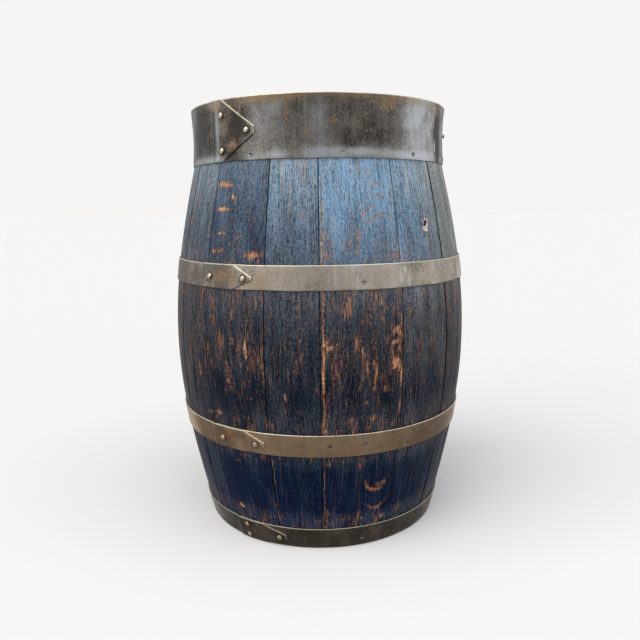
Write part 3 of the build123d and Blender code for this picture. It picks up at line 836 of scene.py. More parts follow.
def carve(mesh, cutters, materials):
    """Cuts shapes out of a mesh. Each cutter says which material its faces wear."""
    scratch = add_object("scratch_stave", mesh)
    tools = []
    for target in [mesh] + [cutter for cutter, _ in cutters]:
        for material in materials:
            target.materials.append(material)
    for cutter, material_index in cutters:
        cutter.polygons.foreach_set("material_index", [material_index] * len(cutter.polygons))
        tool = add_object("scratch_cutter", cutter)
        tools.append(tool)
        cut = scratch.modifiers.new("cut", "BOOLEAN")
        cut.operation, cut.solver, cut.object = "DIFFERENCE", "EXACT", tool
    bpy.context.view_layer.update()
    graph = bpy.context.evaluated_depsgraph_get()
    result = bpy.data.meshes.new_from_object(scratch.evaluated_get(graph), depsgraph=graph)
    for tool in [scratch] + tools:
        bpy.data.objects.remove(tool)
    return result


def peg_cutters():
    """The drilled peg hole, and the ragged hollow torn out of the face above it."""
    bearing, z = PEG
    place = skin_matrix(bearing, z, float(face_radius(z)), lean_back(z))
    deep = 1.5 * STAVE_THICKNESS
    profile = [(0, -deep), (PEG_HOLE_RADIUS, -deep), (PEG_HOLE_RADIUS, 0.01), (0, 0.01)]
    points, faces = lathe_shape(profile, 40)
    drill = closed_mesh("peg_drill", points, faces)
    drill.transform(place)

    arc = np.radians(np.linspace(-90, 90, 15))
    points, faces = lathe_shape(list(zip(np.cos(arc), np.sin(arc))), 44)
    turn = np.arctan2(points[:, 1], points[:, 0])
    ragged = 1 + 0.16 * ripple(5, (2.1, 1.3), turn, points[:, 2]) + 0.10 * np.sin(7 * turn)
    cutters = [(drill, 1)]
    for name, size, right, rise, material_index in PEG_TEARS:
        tear = closed_mesh(name, points * ragged[:, None] * size, faces)
        out = float(face_radius(z + rise))
        tear.transform(skin_matrix(bearing + right, z + rise, out, lean_back(z), PEG_TEAR_TWIST))
        cutters.append((tear, material_index))
    return cutters


def bung_profile(inner, outer, gap=0.0):
    """Radius and height of the bung's cone at both ends, measured from the stave's face."""
    slope = BUNG_TAPER / STAVE_THICKNESS
    return [(BUNG_HOLE_RADIUS + slope * h - gap, h) for h in (inner, outer)]


def bung_cutters():
    """The tapered hole for the bung, cut right through the stave."""
    past = 0.008
    cone = bung_profile(-STAVE_THICKNESS - past, past)
    profile = [(0, cone[0][1])] + cone + [(0, cone[1][1])]
    points, faces = lathe_shape(profile, 72)
    reamer = closed_mesh("bung_reamer", points, faces)
    reamer.transform(skin_matrix(BUNG_BEARING, BILGE_HEIGHT, BILGE_RADIUS, spin=BUNG_REAM_TWIST))
    return [(reamer, 1)]


# ---------------------------------------------------------------- hoops

# The state of each strip's skin: pale rubbed, dark smoky and brown stained patches, as
# bearing, height, half width in degrees, half height and strength. Some on the top
# band's front are painted light instead: painted reflections, a glint, shade and a
# highlight at the lap's step, and a warm highlight along the top rim.
STRIP_PATCHES = {
    "top_band": dict(
        pale=[
            # (-18.5, 0.572) and (46, 0.568) are partly painted reflections of the room
            (-18.5, 0.572, 4, 0.06, 0.25), (46, 0.568, 9, 0.07, 0.72),
            # (-44.6, 0.565) is a painted highlight beside the lap's step
            (-44.6, 0.565, 1, 0.034, 0.8), (8, 0.535, 30, 0.006, 0.8),
            (14, 0.5395, 14, 0.004, 0.6), (50, 0.535, 14, 0.006, 0.4),
            (-56, 0.533, 12, 0.005, 0.9), (1, 0.575, 1.8, 0.05, 0.35),
            # (59.5, 0.55) is a painted glint
            (-4.5, 0.573, 0.4, 0.04, 0.4), (59.5, 0.55, 0.8, 0.007, 1.6),
            (110, 0.565, 16, 0.06, 0.5), (196, 0.57, 14, 0.06, 0.6), (268, 0.565, 12, 0.06, 0.4),
            (-48, 0.604, 5, 0.005, 0.5),
        ],
        dark=[
            (-35, 0.57, 6, 0.045, 1.1), (-9, 0.568, 4.5, 0.05, 0.65), (18, 0.572, 12, 0.034, 0.55),
            # (62.5, 0.562) is a painted dark reflection beside that glint
            (62.5, 0.562, 3.4, 0.04, 1.9), (-57, 0.572, 11, 0.045, 1.15), (86, 0.57, 7, 0.06, 0.6),
            # (-46.9, 0.568) is painted shade at the lap's step
            (-46.9, 0.568, 0.35, 0.06, 1), (-20, 0.566, 4, 0.05, 0.2), (33, 0.575, 4, 0.05, 0.4),
            (12, 0.558, 20, 0.012, 0.25), (150, 0.565, 18, 0.05, 0.7), (232, 0.572, 13, 0.05, 0.7),
        ],
        brown=[
            (28, 0.5935, 3.4, 0.006, 0.6), (6.4, 0.577, 1.2, 0.006, 0.6),
            (-44.5, 0.6, 3, 0.007, 0.45), (-37, 0.549, 2.5, 0.005, 0.45),
            (-12, 0.583, 1.4, 0.012, 0.38), (-4.6, 0.562, 0.7, 0.004, 0.5),
            # (5, 0.605) here and (40, 0.602), (2, 0.603) and (-22, 0.602) below are partly a
            # painted warm highlight along the top rim
            (20, 0.563, 1.2, 0.004, 0.4), (5, 0.605, 26, 0.0022, 0.35),
            (-1, 0.574, 1.2, 0.0015, 0.4), (60, 0.598, 6, 0.008, 0.35),
            (16, 0.585, 12, 0.016, 0.16), (-36, 0.57, 7, 0.025, 0.2), (-54, 0.585, 7, 0.02, 0.2),
            (40, 0.602, 14, 0.005, 0.35), (2, 0.603, 50, 0.006, 0.3), (-22, 0.602, 10, 0.006, 0.3),
            (-22, 0.538, 4, 0.005, 0.3), (130, 0.59, 5, 0.01, 0.6), (205, 0.55, 4, 0.008, 0.6),
            (250, 0.592, 6, 0.009, 0.6),
        ],
    ),
    "upper_bilge_hoop": dict(
        pale=[
            (21, 0.382, 6, 0.03, 0.2), (16, 0.382, 11, 0.03, 0.3), (-3, 0.382, 9, 0.03, 0.1),
            (12.8, 0.377, 0.45, 0.008, 0.7), (28.7, 0.382, 0.6, 0.009, 0.7),
            (32, 0.378, 0.8, 0.009, 0.7), (30.4, 0.389, 0.6, 0.004, 0.7),
            (5.2, 0.386, 0.4, 0.009, 0.5), (3.2, 0.384, 0.4, 0.006, 0.4),
            (50, 0.383, 14, 0.03, 0.25), (140, 0.383, 24, 0.02, 0.4), (250, 0.383, 20, 0.02, 0.4),
        ],
        dark=[
            (-34.5, 0.382, 4.5, 0.03, 0.6), (-66, 0.382, 6, 0.03, 0.6), (-7, 0.382, 5, 0.03, 0.25),
            (-64, 0.383, 11, 0.04, 1.05), (-42, 0.383, 10, 0.04, 0.8), (34, 0.383, 4, 0.03, 0.25),
            (52, 0.383, 10, 0.04, 0.45), (-21, 0.383, 7, 0.04, 0.35), (100, 0.383, 14, 0.022, 0.5),
            (195, 0.383, 16, 0.022, 0.5),
        ],
        brown=[
            (-35, 0.384, 5, 0.014, 0.3), (21, 0.384, 6, 0.012, 0.32), (-21, 0.38, 5, 0.012, 0.3),
            (62, 0.382, 7, 0.012, 0.2), (-37, 0.386, 2, 0.008, 0.25),
            (-29.5, 0.38, 2, 0.008, 0.25), (-40, 0.37, 2, 0.002, 0.35),
            (-12, 0.39, 6, 0.004, 0.16), (8, 0.369, 1.6, 0.0014, 0.35),
            (13, 0.376, 0.5, 0.004, 0.3), (170, 0.386, 5, 0.007, 0.4),
        ],
    ),
    "lower_bilge_hoop": dict(
        pale=[
            (-20, 0.163, 4, 0.03, 0.2), (150, 0.163, 24, 0.02, 0.4),
        ],
        dark=[
            (-52, 0.163, 3, 0.03, 0.4), (-43, 0.163, 12, 0.04, 1.15), (105, 0.163, 14, 0.02, 0.4),
            (215, 0.163, 22, 0.02, 0.5), (46, 0.163, 16, 0.04, 1.15),
        ],
        brown=[
            (-35.5, 0.167, 2.6, 0.006, 0.45), (-48, 0.152, 2.4, 0.003, 0.4),
            (-28, 0.17, 3, 0.005, 0.3), (-13, 0.162, 7, 0.01, 0.2), (4, 0.152, 8, 0.003, 0.35),
            (12, 0.16, 5, 0.008, 0.25), (-21, 0.152, 1.4, 0.0025, 0.4), (240, 0.16, 6, 0.01, 0.4),
        ],
    ),
    "bottom_hoop": dict(
        pale=[(-66.0, 0.018, 8.0, 0.030, 0.30)],
        dark=[
            (-8, 0.018, 8, 0.02, 0.2), (48, 0.018, 14, 0.03, 0.45), (-42, 0.018, 8, 0.03, 0.35),
            (170, 0.018, 40, 0.02, 0.3),
        ],
        brown=[(24.0, 0.0080, 5.0, 0.0060, 0.30), (44.0, 0.0200, 8.0, 0.0080, 0.20)],
    ),
}

STRIP_EDGE = np.array([0.0, 0.00025, 0.0006, 0.0012, 0.0020])
STRIP_EASE = 0.00045
STRIP_STEP = 0.6            # degrees between a strip's columns
STRIP_ROW = 0.0020
EDGE_WANDER = 0.00022
STRIP_WAVE = 0.00010
NAIL_DENT = 0.0003
# How strong the painted highlight along each strip's top edge and lap tip is.
EDGE_HIGHLIGHT = {"top_band": 0.75, "bottom_hoop": 0.62}
USUAL_EDGE_HIGHLIGHT = 0.9


def patch_at(bearing, z, patch):
    """A very soft-edged patch, half as strong at its edge as in its middle."""
    at, height, half_width, half_height, strength = patch
    reach = np.hypot(apart(bearing, at) / half_width, (z - height) / half_height)
    return strength * (1 - smoothstep(0.2, 1.8, reach))


def strip_columns(hoop):
    """Bearings along a strip, from its inner end right round to its outer tip.

    They stand closer together where the strip steps up, at its ends and round its nails.
    """
    start, end = hoop["joggle"] + JOGGLE_GAP, hoop["tip"] + 360
    columns = set(np.linspace(start, end, int((end - start) / STRIP_STEP)))
    step_up = hoop["joggle"] + 360
    columns |= set(np.arange(step_up - JOGGLE_ANGLE, step_up + 0.5, 0.25))
    columns |= {hoop["shoulder"] + 360, start + 0.08, end - 0.08, end - 0.2}
    for nail in hoop["nails"]:
        middle = start + (nail - start) % 360
        columns |= {middle + reach for reach in (-1.1, -0.75, -0.4, 0, 0.4, 0.75, 1.1)}
    columns = np.array(sorted(column for column in columns if start <= column <= end))
    return columns[np.insert(np.diff(columns) > 0.03, 0, True)]


def make_strip(name, material):
    """A hoop: one strip bent round, its pointed outer end lapped over its inner end."""
    hoop = HOOPS[name]
    seed = list(HOOPS).index(name) * 10
    low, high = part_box(name)[0][2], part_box(name)[1][2]
    bearing = strip_columns(hoop)
    narrowing = np.clip((bearing - 360 - hoop["shoulder"]) / (hoop["tip"] - hoop["shoulder"]), 0, 1)
    wavy = EDGE_WANDER * ripple(seed, (23.0,), bearing) * (1 - narrowing)
    bottom = low + 0.0002 + (hoop["tip_bottom"] - low) * narrowing + wavy.clip(-0.0002, 1)
    top = high - 0.0002 + (hoop["tip_top"] - high) * narrowing - np.abs(wavy[::-1])
    count = int((high - low) / STRIP_ROW)
    share = np.concatenate([STRIP_EDGE * 0, np.linspace(0, 1, count), STRIP_EDGE * 0 + 1])
    inset = STRIP_EDGE[-1]
    pull = np.linspace(1, -1, count + 2)[1:-1] * inset
    shift = np.concatenate([STRIP_EDGE, pull, -STRIP_EDGE[::-1]])
    tall = (top - bottom)[:, None]
    room = np.clip((tall - 2 * inset) / (2 * inset), 0.2, 1)
    z = bottom[:, None] + share * tall + shift * np.where(np.abs(shift) > 0, room, 1)

    step = HOOP_THICKNESS + HOOP_CLEARANCE
    lifted = step * smoothstep(360 + hoop["joggle"] - JOGGLE_ANGLE, 360 + hoop["joggle"], bearing)
    inside = face_radius(z) + HOOP_CLEARANCE + lifted[:, None]
    inside = inside + STRIP_WAVE * (1 + ripple(seed + 1, (31.0, 0.05), bearing[:, None], z))
    from_edge = np.abs(shift)[None, :] * room
    from_end = np.radians(np.minimum(bearing - bearing[0], bearing[-1] - bearing)) * BILGE_RADIUS
    nearest = np.minimum(np.where(share * (1 - share) > 0, 1, from_edge), from_end[:, None])
    ease = STRIP_EASE * (1 - np.clip(nearest / STRIP_EDGE[2], 0, 1)) ** 2
    outside = inside + HOOP_THICKNESS - ease
    for nail in hoop["nails"]:
        around = np.hypot(np.radians(apart(bearing, nail))[:, None] * BILGE_RADIUS,
                          z - hoop["nail_line"])
        outside = outside - NAIL_DENT * (1 - smoothstep(0.0015, 0.0042, around))
    middle = (inside + outside) / 2
    layers = [on_barrel(bearing[:, None], radius, z)
              for radius in (inside + 0.3 * ease, middle, outside)]
    mesh = block_mesh(f"{name}_strip", np.stack(layers, 1))
    paint_strip(mesh, name, seed, top, bearing)
    piece(f"{name}_strip", mesh, "cask", [name], [material], 40)


def paint_strip(mesh, name, seed, top, columns):
    """Stores the strip's own coordinates and the state of its skin, with its painted reflections,
    shadows and highlights.
    """
    hoop = HOOPS[name]
    points = points_of(mesh)
    radius, z = np.hypot(points[:, 0], points[:, 1]), points[:, 2]
    flat_bearing = hoop["joggle"] + (bearing_of(points) - hoop["joggle"]) % 360
    lapped = (radius > face_radius(z) + HOOP_THICKNESS + 0.0007) & (
        flat_bearing < hoop["tip"] + 0.01)
    along = flat_bearing + 360 * lapped
    store(mesh, "strip", np.stack([np.radians(along) * BILGE_RADIUS + seed, radius, z], 1))
    patches = STRIP_PATCHES[name]
    cloud = ripple(seed + 3, (17.0, 0.06), flat_bearing, z)
    amounts = {kind: sum(patch_at(flat_bearing, z, patch) for patch in patches[kind])
               for kind in ("pale", "dark", "brown")}
    for at, height in hoop["rivets"]:       # painted shadow round the rivets, reaching furthest below them
        rivet_shadow = (at, height - 0.0012, 1.5, 0.0052, 0.9)
        amounts["dark"] = amounts["dark"] + patch_at(flat_bearing, z, rivet_shadow)
    store(mesh, "tone", 0.5 + 0.5 * (amounts["pale"] - amounts["dark"]) + 0.05 * cloud)
    store(mesh, "brown", amounts["brown"])
    # the painted highlight: along the top edge, the narrow end and the lap's tip
    upper = np.interp(along, columns, top) - z
    rim = 1 - smoothstep(0.0004, 0.0018, upper)
    tip = 1 - smoothstep(0.0008, 0.0022, np.radians(columns[-1] - along) * BILGE_RADIUS)
    narrow = smoothstep(hoop["shoulder"] + 359, hoop["shoulder"] + 361, along)
    rim = np.maximum(rim, narrow * (1 - smoothstep(0.0012, 0.0028, upper)))
    store(mesh, "edge", EDGE_HIGHLIGHT.get(name, USUAL_EDGE_HIGHLIGHT) * np.maximum(rim, tip * lapped))


# ---------------------------------------------------------------- fasteners

RIVET_PROFILE = [
    (0, -0.0030), (0.0019, -0.0030), (0.0019, 0.0001), (0.0038, 0.0000), (0.0041, 0.0003),
    (0.0040, 0.0009), (0.0035, 0.0016), (0.0027, 0.0021), (0.0017, 0.0024), (0.0008, 0.0025),
    (0, 0.0025),
]
NAIL_PROFILE = [
    (0, -0.0050), (0.0010, -0.0050), (0.0010, -0.0003), (0.0028, -0.0003), (0.0032, 0.0000),
    (0.0031, 0.0004), (0.0027, 0.0006), (0.0021, 0.0005), (0.0016, 0.0001), (0.0014, -0.0002),
    (0.0007, -0.0003), (0, -0.0003),
]
STUD_PROFILE = [
    (0, -0.0050), (0.0012, -0.0050), (0.0012, 0.0000), (0.0019, 0.0002), (0.0020, 0.0007),
    (0.0027, 0.0010), (0.0030, 0.0015), (0.0029, 0.0022), (0.0023, 0.0029), (0.0013, 0.0033),
    (0.0006, 0.0034), (0, 0.0034),
]


def fastener(profile, bearing, z, layers, seed):
    """Points, faces and darkening of one hand-hammered head, driven in at a slight angle."""
    points, faces = lathe_shape(profile, 28)
    head = points[:, 2] > -0.001
    turn = np.arctan2(points[:, 1], points[:, 0])
    beaten = 1 + 0.05 * ripple(seed, (2.8, 0.004), turn, points[:, 2]) * head
    flat = 1 - 0.07 * np.cos(turn - seed) ** 2 * head
    points = points * np.stack([beaten, beaten * flat, 1 + 0 * beaten], 1)
    reach = np.hypot(points[:, 0], points[:, 1])
    rim = max(radius for radius, _ in profile)
    crown = max(height for _, height in profile)
    darkening = smoothstep(0.55 * rim, rim, reach) * (1 - 0.5 * smoothstep(0, crown, points[:, 2]))
    # painted shade in the dished middle of a nail head
    if profile is NAIL_PROFILE:
        darkening = np.maximum(darkening, 1 - smoothstep(0.0012, 0.0021, reach))
    rng = np.random.default_rng(seed)
    out = float(face_radius(z)) + layers * (HOOP_THICKNESS + HOOP_CLEARANCE)
    tilt = lean_back(z) + rng.uniform(-0.05, 0.05)
    place = np.array(skin_matrix(bearing, z, out + 0.0001, tilt, rng.uniform(0, 6)))
    return points @ place[:3, :3].T + place[:3, 3], faces, darkening, points + seed * 0.1


def make_fasteners(name, node, profile, places, layers, material):
    """One piece for a group of like fasteners: every head in one mesh."""
    points, faces, darkening, coordinates = [], [], [], []
    count = 0
    for number, (bearing, z) in enumerate(places):
        seed = number + 7 * len(node)
        some, loops, rim, local = fastener(profile, bearing, z, layers, seed)
        faces += [[count + corner for corner in loop] for loop in loops]
        count += len(some)
        points.append(some)
        darkening.append(rim)
        coordinates.append(local)
    mesh = closed_mesh(name, np.concatenate(points), faces)
    store(mesh, "dark", np.concatenate(darkening))
    store(mesh, "strip", np.concatenate(coordinates))
    piece(name, mesh, "cask", [node], [material], 50)


# ---------------------------------------------------------------- heads, bung and peg

def make_board(name, number, middle, groove_radius, material):
    """One board of a head: eased edges, a bevel down to its rim, its own grain."""
    node = f"{name}_board_{number + 1}"
    radius = groove_radius - GROOVE_GAP
    side = radius - 0.0004
    seams = [-side] + HEAD_SEAMS + [side]
    left, right = seams[number], seams[number + 1]
    gap = BOARD_GAP
    edge = np.array([0.0, 0.0003, 0.0008, 0.0015])
    inner = np.linspace(left + gap + 0.0025, right - gap - 0.0025, 26)
    x = np.concatenate([left + gap + edge, inner, right - gap - edge[::-1]])
    reach = np.sqrt(np.maximum(radius**2 - x**2, 1e-6))
    share = np.linspace(-1, 1, 131)
    y = reach[:, None] * share
    from_axis = np.hypot(x[:, None], y)
    flat = radius - HEAD_EDGE_FLAT
    half = np.interp(from_axis, [flat - HEAD_BEVEL_WIDTH, flat],
                     [HEAD_THICKNESS / 2, HEAD_EDGE_THICKNESS / 2])
    inset = np.minimum(x - left - gap, right - gap - x)
    inset = np.where((x - left < 0.1 * gap) | (right - x < 0.1 * gap), 0, inset)[:, None]
    eased = BOARD_ROUND * (1 - np.clip(inset / edge[-1], 0, 1)) ** 2
    cupped = BOARD_WAVE * ripple(number + 3 * len(name), (0.11, 0.4), x[:, None], y)
    top = middle + half - eased + np.minimum(cupped, 0.0)
    bottom = middle - half + eased
    layers = [bottom + (top - bottom) * depth for depth in (0.0, 0.12, 0.5, 0.88, 1.0)]
    flat_x = np.broadcast_to(x[:, None], y.shape)
    lattice = np.stack([np.stack([flat_x, y, z], -1) for z in layers], 2)
    mesh = block_mesh(f"{node}_oak", lattice)
    points = points_of(mesh)
    seed = number + 5 * len(name)
    across, along = BOARD_GRAIN_STEP
    grain = np.stack([points[:, 0] + seed * across, points[:, 2], points[:, 1] + seed * along], 1)
    store(mesh, "grain", grain)
    distance = np.hypot(points[:, 0], points[:, 1]) / radius
    cloud = ripple(seed, (0.09, 0.14), points[:, 0], points[:, 1])
    shown = points[:, 2] > middle
    store(mesh, "bloom_and_painted_light", np.clip(0.34 + 0.10 * cloud - 0.16 * distance**6, 0, 1))
    store(mesh, "blue", np.clip(0.45 + 0.15 * cloud, 0, 1))
    store(mesh, "cool", np.full(len(points), 0.6))
    store(mesh, "wear", 0.24 + 0.10 * cloud)
    store(mesh, "joint_shade", np.zeros(len(points)))
    store(mesh, "raw", np.where(shown == (middle > BILGE_HEIGHT), 0.0, 1.0))
    piece(f"{node}_oak", mesh, "cask", [node], [material])


def make_bung(material):
    """The turned bung: end grain outwards, its arris bruised by the mallet."""
    inner, outer = bung_profile(BUNG_PROUD - BUNG_LENGTH, BUNG_PROUD, BUNG_GAP)
    ease = BUNG_EASE
    profile = [(0, inner[1])]
    profile += [(share * (inner[0] - ease), inner[1]) for share in (0.35, 0.7, 1.0)]
    for share in np.linspace(0, 1, 12):
        radius = inner[0] + (outer[0] - inner[0]) * share
        height = inner[1] + (outer[1] - inner[1]) * share
        height = min(max(height, inner[1] + ease), outer[1] - ease)
        profile.append((radius - 0.00004 * math.sin(9 * share), height))
    profile += [(share * (outer[0] - ease), outer[1]) for share in (1.0, 0.85, 0.6, 0.3)]
    profile.append((0, outer[1]))
    points, faces = lathe_shape(profile, 96)
    turn = np.arctan2(points[:, 1], points[:, 0])
    reach = np.hypot(points[:, 0], points[:, 1])
    bruised = smoothstep(0.5, 1.0, reach / outer[0]) * (points[:, 2] > outer[1] - 0.002)
    dents = np.clip(ripple(12, (0.9, 0.03), turn, reach), 0, 1)
    points[:, 2] -= 0.0007 * bruised * dents + 0.0004 * smoothstep(0, 1, reach / outer[0]) * (
        points[:, 2] > outer[1] - 0.0005)
    mesh = closed_mesh("bung_plug", points, faces)
    store(mesh, "grain", points + BUNG_PITH)
    mesh.transform(skin_matrix(BUNG_BEARING, BILGE_HEIGHT, BILGE_RADIUS))
    piece("bung_plug", mesh, "bung", ["bung"], [material])


def make_peg(material):
    """The broken vent peg: a whittled shank with a splintered, slanting end."""
    bearing, z = PEG
    top = PEG_PROUD
    slope = math.tan(math.radians(PEG_SPLIT))
    profile = [(0, top - PEG_LENGTH), (PEG_RADIUS * 0.55, top - PEG_LENGTH)]
    profile += [(PEG_RADIUS * 0.78, top - PEG_LENGTH + 0.0012)]
    for share in np.linspace(0.08, 1, 12):
        profile.append((PEG_RADIUS * (0.84 + 0.14 * share), top - PEG_LENGTH * (1 - share)))
    profile += [(PEG_RADIUS * share, top) for share in (0.8, 0.6, 0.42, 0.25, 0.1)]
    profile.append((0, top))
    points, faces = lathe_shape(profile, 30)
    turn = np.arctan2(points[:, 1], points[:, 0])
    facets = 1 - 0.03 * (1 + np.cos(8 * turn)) / 2
    points[:, :2] *= facets[:, None]
    cut = -PEG_SPLIT_DEPTH - slope * points[:, 1]
    rng = np.random.default_rng(4)
    splinters = rng.uniform(-0.0006, 0.0006, len(points))
    splinters = splinters + 0.0004 * np.sin(9 * points[:, 0] / PEG_RADIUS)
    broken = points[:, 2] > np.minimum(top - 0.0001, cut + splinters)
    points[broken, 2] = np.minimum(top, (cut + splinters)[broken])
    mesh = closed_mesh("vent_peg_stub", points, faces)
    store(mesh, "grain", points)
    mesh.transform(skin_matrix(bearing, z, float(face_radius(z)), lean_back(z)))
    piece("vent_peg_stub", mesh, "vent_peg", ["vent_peg"], [material], 50)


# ---------------------------------------------------------------- the object

oak = stained_oak()
torn_oak = plain_wood("torn_oak", (0.420, 0.300, 0.260), (0.900, 0.780, 0.720))
# near-black painted shade on the walls of the deep void by the peg
void_painted_shade = plain_wood("void_painted_shade", (0.004, 0.003, 0.003), (0.014, 0.010, 0.009))
bored_oak = plain_wood("bored_oak", (0.090, 0.050, 0.030), (0.300, 0.185, 0.105))
# the peg's hole is in stave_05 and the bung's in stave_11
holes = {4: (peg_cutters(), [torn_oak, void_painted_shade]), 10: (bung_cutters(), [bored_oak])}
for stave_index in range(len(STAVE_LOOKS)):
    hole_cutters, hole_woods = holes.get(stave_index, ([], []))
    make_stave(stave_index, hole_cutters, [oak] + hole_woods)

# The hoops are paler high up and darker low down: partly tarnish, partly painted shade, darker the
# lower a hoop sits and the more it faces down.
metals = {
    "top_band": aged_brass("band_patina_and_reflections", (0.064, 0.056, 0.048), (0.272, 0.256, 0.234),
                           (0.610, 0.635, 0.660), (0.450, 0.310, 0.170), (0.26, 0.44), 0.5),
    "upper_bilge_hoop": aged_brass("upper_hoop_patina", (0.180, 0.155, 0.125),
                                   (0.500, 0.440, 0.360), (0.840, 0.790, 0.720),
                                   (0.420, 0.270, 0.120), (0.34, 0.50), 0.35),
    "lower_bilge_hoop": aged_brass("lower_hoop_patina_and_shade", (0.220, 0.150, 0.095),
                                   (0.500, 0.370, 0.250), (0.720, 0.600, 0.460),
                                   (0.480, 0.210, 0.090), (0.38, 0.55), 0.4),
    "bottom_hoop": aged_brass("bottom_hoop_patina_and_shade", (0.050, 0.042, 0.038),
                              (0.140, 0.118, 0.102), (0.330, 0.300, 0.260),
                              (0.180, 0.110, 0.060), (0.40, 0.58), 0.4),
}
rivet_brass = rubbed_brass("rivet_brass", (0.160, 0.120, 0.070), (0.780, 0.700, 0.520))
nail_brass = rubbed_brass("nail_brass", (0.030, 0.025, 0.020), (0.560, 0.510, 0.420), 0.38)
stud_brass = rubbed_brass("stud_metal", (0.600, 0.600, 0.600), (0.900, 0.900, 0.900), 0.45)
for hoop_name, settings in HOOPS.items():
    make_strip(hoop_name, metals[hoop_name])
    make_fasteners(f"{hoop_name}_rivet_heads", f"{hoop_name}_rivets", RIVET_PROFILE,
                   settings["rivets"], 2, rivet_brass)
    nail_places = [(bearing, settings["nail_line"]) for bearing in settings["nails"]]
    make_fasteners(f"{hoop_name}_nail_heads", f"{hoop_name}_nails", NAIL_PROFILE,
                   nail_places, 1, nail_brass)
make_fasteners("band_stud_head", "band_stud", STUD_PROFILE, [STUD], 1, stud_brass)

for head_name, head_middle in (("bottom_head", CROZE_OFFSET), ("top_head", HEIGHT - CROZE_OFFSET)):
    rim_height = HEIGHT if head_middle > BILGE_HEIGHT else head_middle + CROZE_WIDTH / 2
    groove_radius = float(inner_radius(rim_height)) + CROZE_DEPTH
    for board_number in range(len(HEAD_SEAMS) + 1):
        make_board(head_name, board_number, head_middle, groove_radius, oak)

make_bung(plain_wood("bung_wood", (0.150, 0.075, 0.045), (0.430, 0.270, 0.150), rings=True))
make_peg(plain_wood("peg_wood", (0.500, 0.420, 0.360), (0.900, 0.860, 0.820)))

# the dowels stay as the CAD has them, hidden inside the heads
dowel_wood = plain_wood("dowel_wood", (0.300, 0.190, 0.100), (0.600, 0.430, 0.260))
for head_name in ("bottom_head", "top_head"):
    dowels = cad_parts[f"{head_name}_dowels"]
    dowels.data.materials.clear()
    dowels.data.materials.append(dowel_wood)


# ---------------------------------------------------------------- floor, light and camera

FLOOR_REACH = 40.0
BACKDROP = (0.920, 0.912, 0.900)
PAPER = (0.790, 0.780, 0.769)
# painted light on the floor round the barrel, against the barrel's shade there
PAINTED_LIGHT_PAPER = (0.848, 0.838, 0.826)      # the floor is paler where the barrel stands
NEAR_REACH, FAR_REACH = 0.30, 1.10
WINDOWS = (0.74, 0.75, 0.77)
# Name, bearing, elevation, strength, softness in degrees and colour.
SUNS = [
    ("key_left", -50, 50, 1.60, 55, (1.0, 0.985, 0.96)),
    ("fill_right", 45, 52, 0.90, 60, (0.90, 0.95, 1.0)),
]
CAMERA_PLACE = (0, -0.98, 0.4688)
CAMERA_DOWN = 10.21
CAMERA_ROLL = -0.69
CAMERA_LENS = 35.0
# What the barrel mirrors: bearing, elevation, how far out it reaches and how far out it
# is full, in degrees, and its colour.
DIM_PLACES = [
    (12, 8, 72, 30, (0.40, 0.40, 0.41)),
    (0, -68, 82, 46, (0.27, 0.25, 0.23)),
    (180, 42, 62, 25, (0.45, 0.45, 0.46)),
]


def make_floor():
    """A wide sheet of paper that nothing mirrors, with painted light making it palest round the
    barrel.
    """
    mesh = bpy.data.meshes.new("floor")
    corners = [(x * FLOOR_REACH, y * FLOOR_REACH, 0)
               for x, y in ((-1, -1), (1, -1), (1, 1), (-1, 1))]
    mesh.from_pydata(corners, [], [(0, 1, 2, 3)])
    floor = add_object("floor", mesh)
    paper = Surface("pale_floor", Specular_IOR_Level=0.0)
    place = paper.node("ShaderNodeTexCoord")
    reach = paper.node("ShaderNodeVectorMath", operation="LENGTH")
    paper.feed(reach.inputs[0], place.outputs["Object"])
    away = paper.ramp(reach.outputs["Value"], NEAR_REACH, FAR_REACH)
    mesh.materials.append(paper.finish(paper.mix(away, PAINTED_LIGHT_PAPER, PAPER), 0.9))
    floor.visible_glossy = False


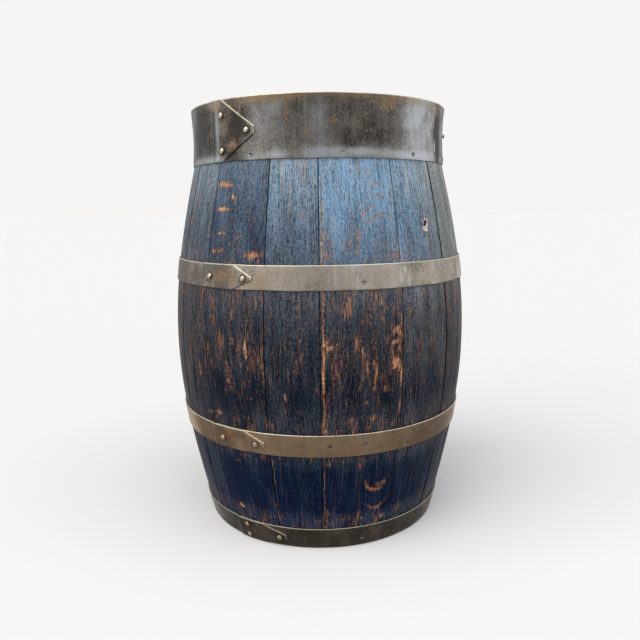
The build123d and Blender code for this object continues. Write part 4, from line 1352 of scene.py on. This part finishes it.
def toward(bearing, elevation):
    """The unit direction at a bearing and an elevation, in degrees."""
    turn, rise = math.radians(bearing), math.radians(elevation)
    return (math.sin(turn) * math.cos(rise), -math.cos(turn) * math.cos(rise), math.sin(rise))


def make_sky():
    """A pale room for the camera. What the barrel mirrors is dim in front and below."""
    world = bpy.data.worlds.new("studio")
    bpy.context.scene.world = world
    sky = Nodes(world)
    way = sky.node("ShaderNodeTexCoord").outputs["Generated"]
    room = WINDOWS
    for bearing, elevation, wide, narrow, colour in DIM_PLACES:
        facing = sky.node("ShaderNodeVectorMath", operation="DOT_PRODUCT")
        sky.feed(facing.inputs[0], way)
        facing.inputs[1].default_value = toward(bearing, elevation)
        inside = sky.ramp(facing.outputs["Value"], math.cos(math.radians(wide)),
                          math.cos(math.radians(narrow)))
        room = sky.mix(inside, room, colour)
    camera_sees = sky.node("ShaderNodeLightPath").outputs["Is Camera Ray"]
    sky.feed(sky.tree.nodes["Background"].inputs["Color"], sky.mix(camera_sees, room, BACKDROP))


def make_sun(name, bearing, elevation, strength, softness, colour):
    """An even, soft light from one side, which doesn't fall off across the floor."""
    light = bpy.data.lights.new(name, "SUN")
    light.energy = strength
    light.angle = math.radians(softness)
    light.color = colour
    lamp = add_object(name, light)
    aim = Matrix.Rotation(math.radians(bearing), 4, "Z")
    lamp.matrix_world = aim @ Matrix.Rotation(math.radians(90 - elevation), 4, "X")


def make_camera():
    """The camera in front of the barrel, looking a little down on it."""
    data = bpy.data.cameras.new("camera")
    data.lens = CAMERA_LENS
    data.sensor_width = 36.0
    camera = add_object("camera", data)
    tilt, roll = math.radians(90 - CAMERA_DOWN), math.radians(CAMERA_ROLL)
    place = Matrix.Translation(CAMERA_PLACE)
    camera.matrix_world = place @ Matrix.Rotation(tilt, 4, "X") @ Matrix.Rotation(roll, 4, "Z")
    bpy.context.scene.camera = camera


make_floor()
make_sky()
for settings in SUNS:
    make_sun(*settings)
make_camera()
bpy.context.scene.view_settings.view_transform = "Standard"
